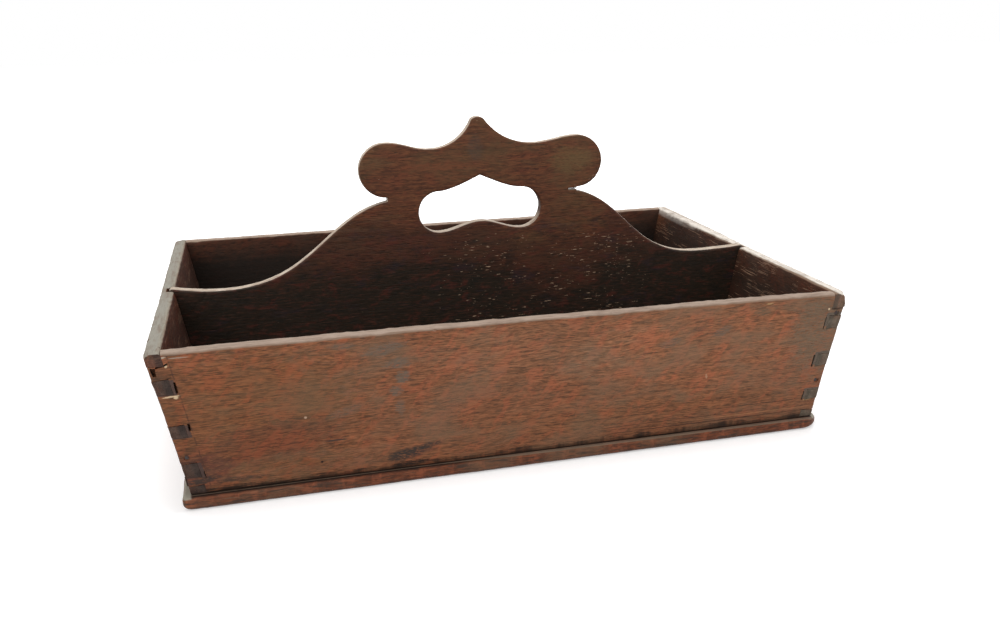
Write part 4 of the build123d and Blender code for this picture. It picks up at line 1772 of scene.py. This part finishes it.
FRONT_CHIPS = (
    Chip((146, -137.2, 86.6), (9, 2.2, 2.0)),
    Chip((0, -137.3, 88.6), (5, 1.6, 1.6)),
    Chip((-52, -137.3, 89.0), (4, 1.6, 1.4)),
    Chip((76, -137.2, 88.8), (6, 1.4, 1.4)),
    Chip((-120, -137.4, 89.6), (7, 1.6, 1.4)),
)
LEFT_CHIPS = (
    Chip((-199.6, 45, 90.0), (2.2, 7, 2.4)),
    Chip((-199.4, 55, 90.2), (2.0, 5, 2.2)),
    Chip((-199.6, -22, 90.3), (2.0, 9, 1.8)),
    Chip((-199.3, -92, 90.2), (2.2, 6, 2.0)),
    Chip((-199.3, -112, 89.6), (2.0, 4, 2.4)),
    Chip((-191.6, -126, 90.4), (3.0, 4, 2.2)),
)
RIGHT_CHIPS = (
    Chip((192.0, -35, 90.4), (3.0, 9, 2.4)),
    Chip((199.6, 20, 90.4), (2.4, 8, 2.0)),
)
BASE_CHIPS = (
    Chip((188.6, -134.0, 0.2), (11, 10, 5)),
)


def main() -> None:
    """Loads the frame, then builds and dresses every piece in order."""
    logging.basicConfig(level=logging.INFO, format="%(relativeCreated)6d ms %(name)s: %(message)s")
    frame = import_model()
    Studio().make()
    front = WallFinish("oak_front_outside", Figure.ALONG_X_UPRIGHT, lie=Lie.FRONT, marks=FRONT_MARKS, seed=1.7)
    back = WallFinish("oak_back_outside", Figure.ALONG_X_UPRIGHT, lie=Lie.BACK, marks=BACK_MARKS, seed=5.3,
                      pith=(180.0, -60.0))
    left = WallFinish("oak_left_end", Figure.ALONG_Y_UPRIGHT, lie=Lie.LEFT, seed=8.1, pith=(-60.0, 70.0),
                      rim_wear_and_sheen=linear(134, 128, 116), rim_outer_highlight=linear(130, 126, 116), inner_dark_and_shade=0.6,
                      scratched=0.6, inside=(0.27, 0.18, 0.14))
    # The outer part of this rim is a painted highlight, near white.
    right = WallFinish("oak_right_end", Figure.ALONG_Y_UPRIGHT, lie=Lie.RIGHT, seed=11.9, pith=(160.0, -70.0),
                       rim_wear_and_sheen=linear(116, 96, 80), rim_outer_highlight=linear(206, 198, 188), inner_dark_and_shade=0.6,
                       scratched=1.0, end_grain=linear(96, 86, 74), end_grain_dark=linear(76, 68, 58),
                       half_pin_drop=17.0, marks=RIGHT_MARKS)
    corner_nails = Nails("corner_nails", 1)
    base_nails = Nails("base_nails", 2)
    WallBoard("front_board", Lie.FRONT, Wear(seed=0.13), FRONT_CHIPS).make(
        front.material(), "oak_front", corner_nails.pockets(frame, -1))
    WallBoard("back_board", Lie.BACK, Wear(seed=0.29)).make(
        back.material(), "oak_front", corner_nails.pockets(frame, 1))
    WallBoard("left_end_board", Lie.LEFT, Wear(seed=0.57), LEFT_CHIPS, end_round=0.4 * MM).make(
        left.material(), "oak_end")
    WallBoard("right_end_board", Lie.RIGHT, Wear(seed=0.71), RIGHT_CHIPS, end_round=0.4 * MM).make(
        right.material(), "oak_end")
    base = BaseFinish("oak_base_board", Figure.ALONG_X_FLAT, seed=3.3, pith=(-190.0, -60.0),
                      light=linear(118, 66, 42), dark=linear(70, 40, 27))
    BaseBoard(chips=BASE_CHIPS).make(base.material(), base_nails.pockets(frame, -1))
    handle = DividerFinish("oak_divider", Figure.ALONG_X_UPRIGHT, seed=14.2, pith=(260.0, 70.0),
                           light=linear(104, 64, 41), dark=linear(66, 38, 26), pore=linear(38, 24, 18),
                           flake=linear(102, 52, 35), flake_share=0.35, flake_turn=4.0, patina=linear(82, 64, 42),
                           marks=HANDLE_MARKS)
    Divider().make(frame["nodes"]["divider"], handle.material())
    iron = IronFinish().material()
    for nails in (base_nails, corner_nails):
        nails.make(frame, iron)


if __name__ == "__main__":
    main()
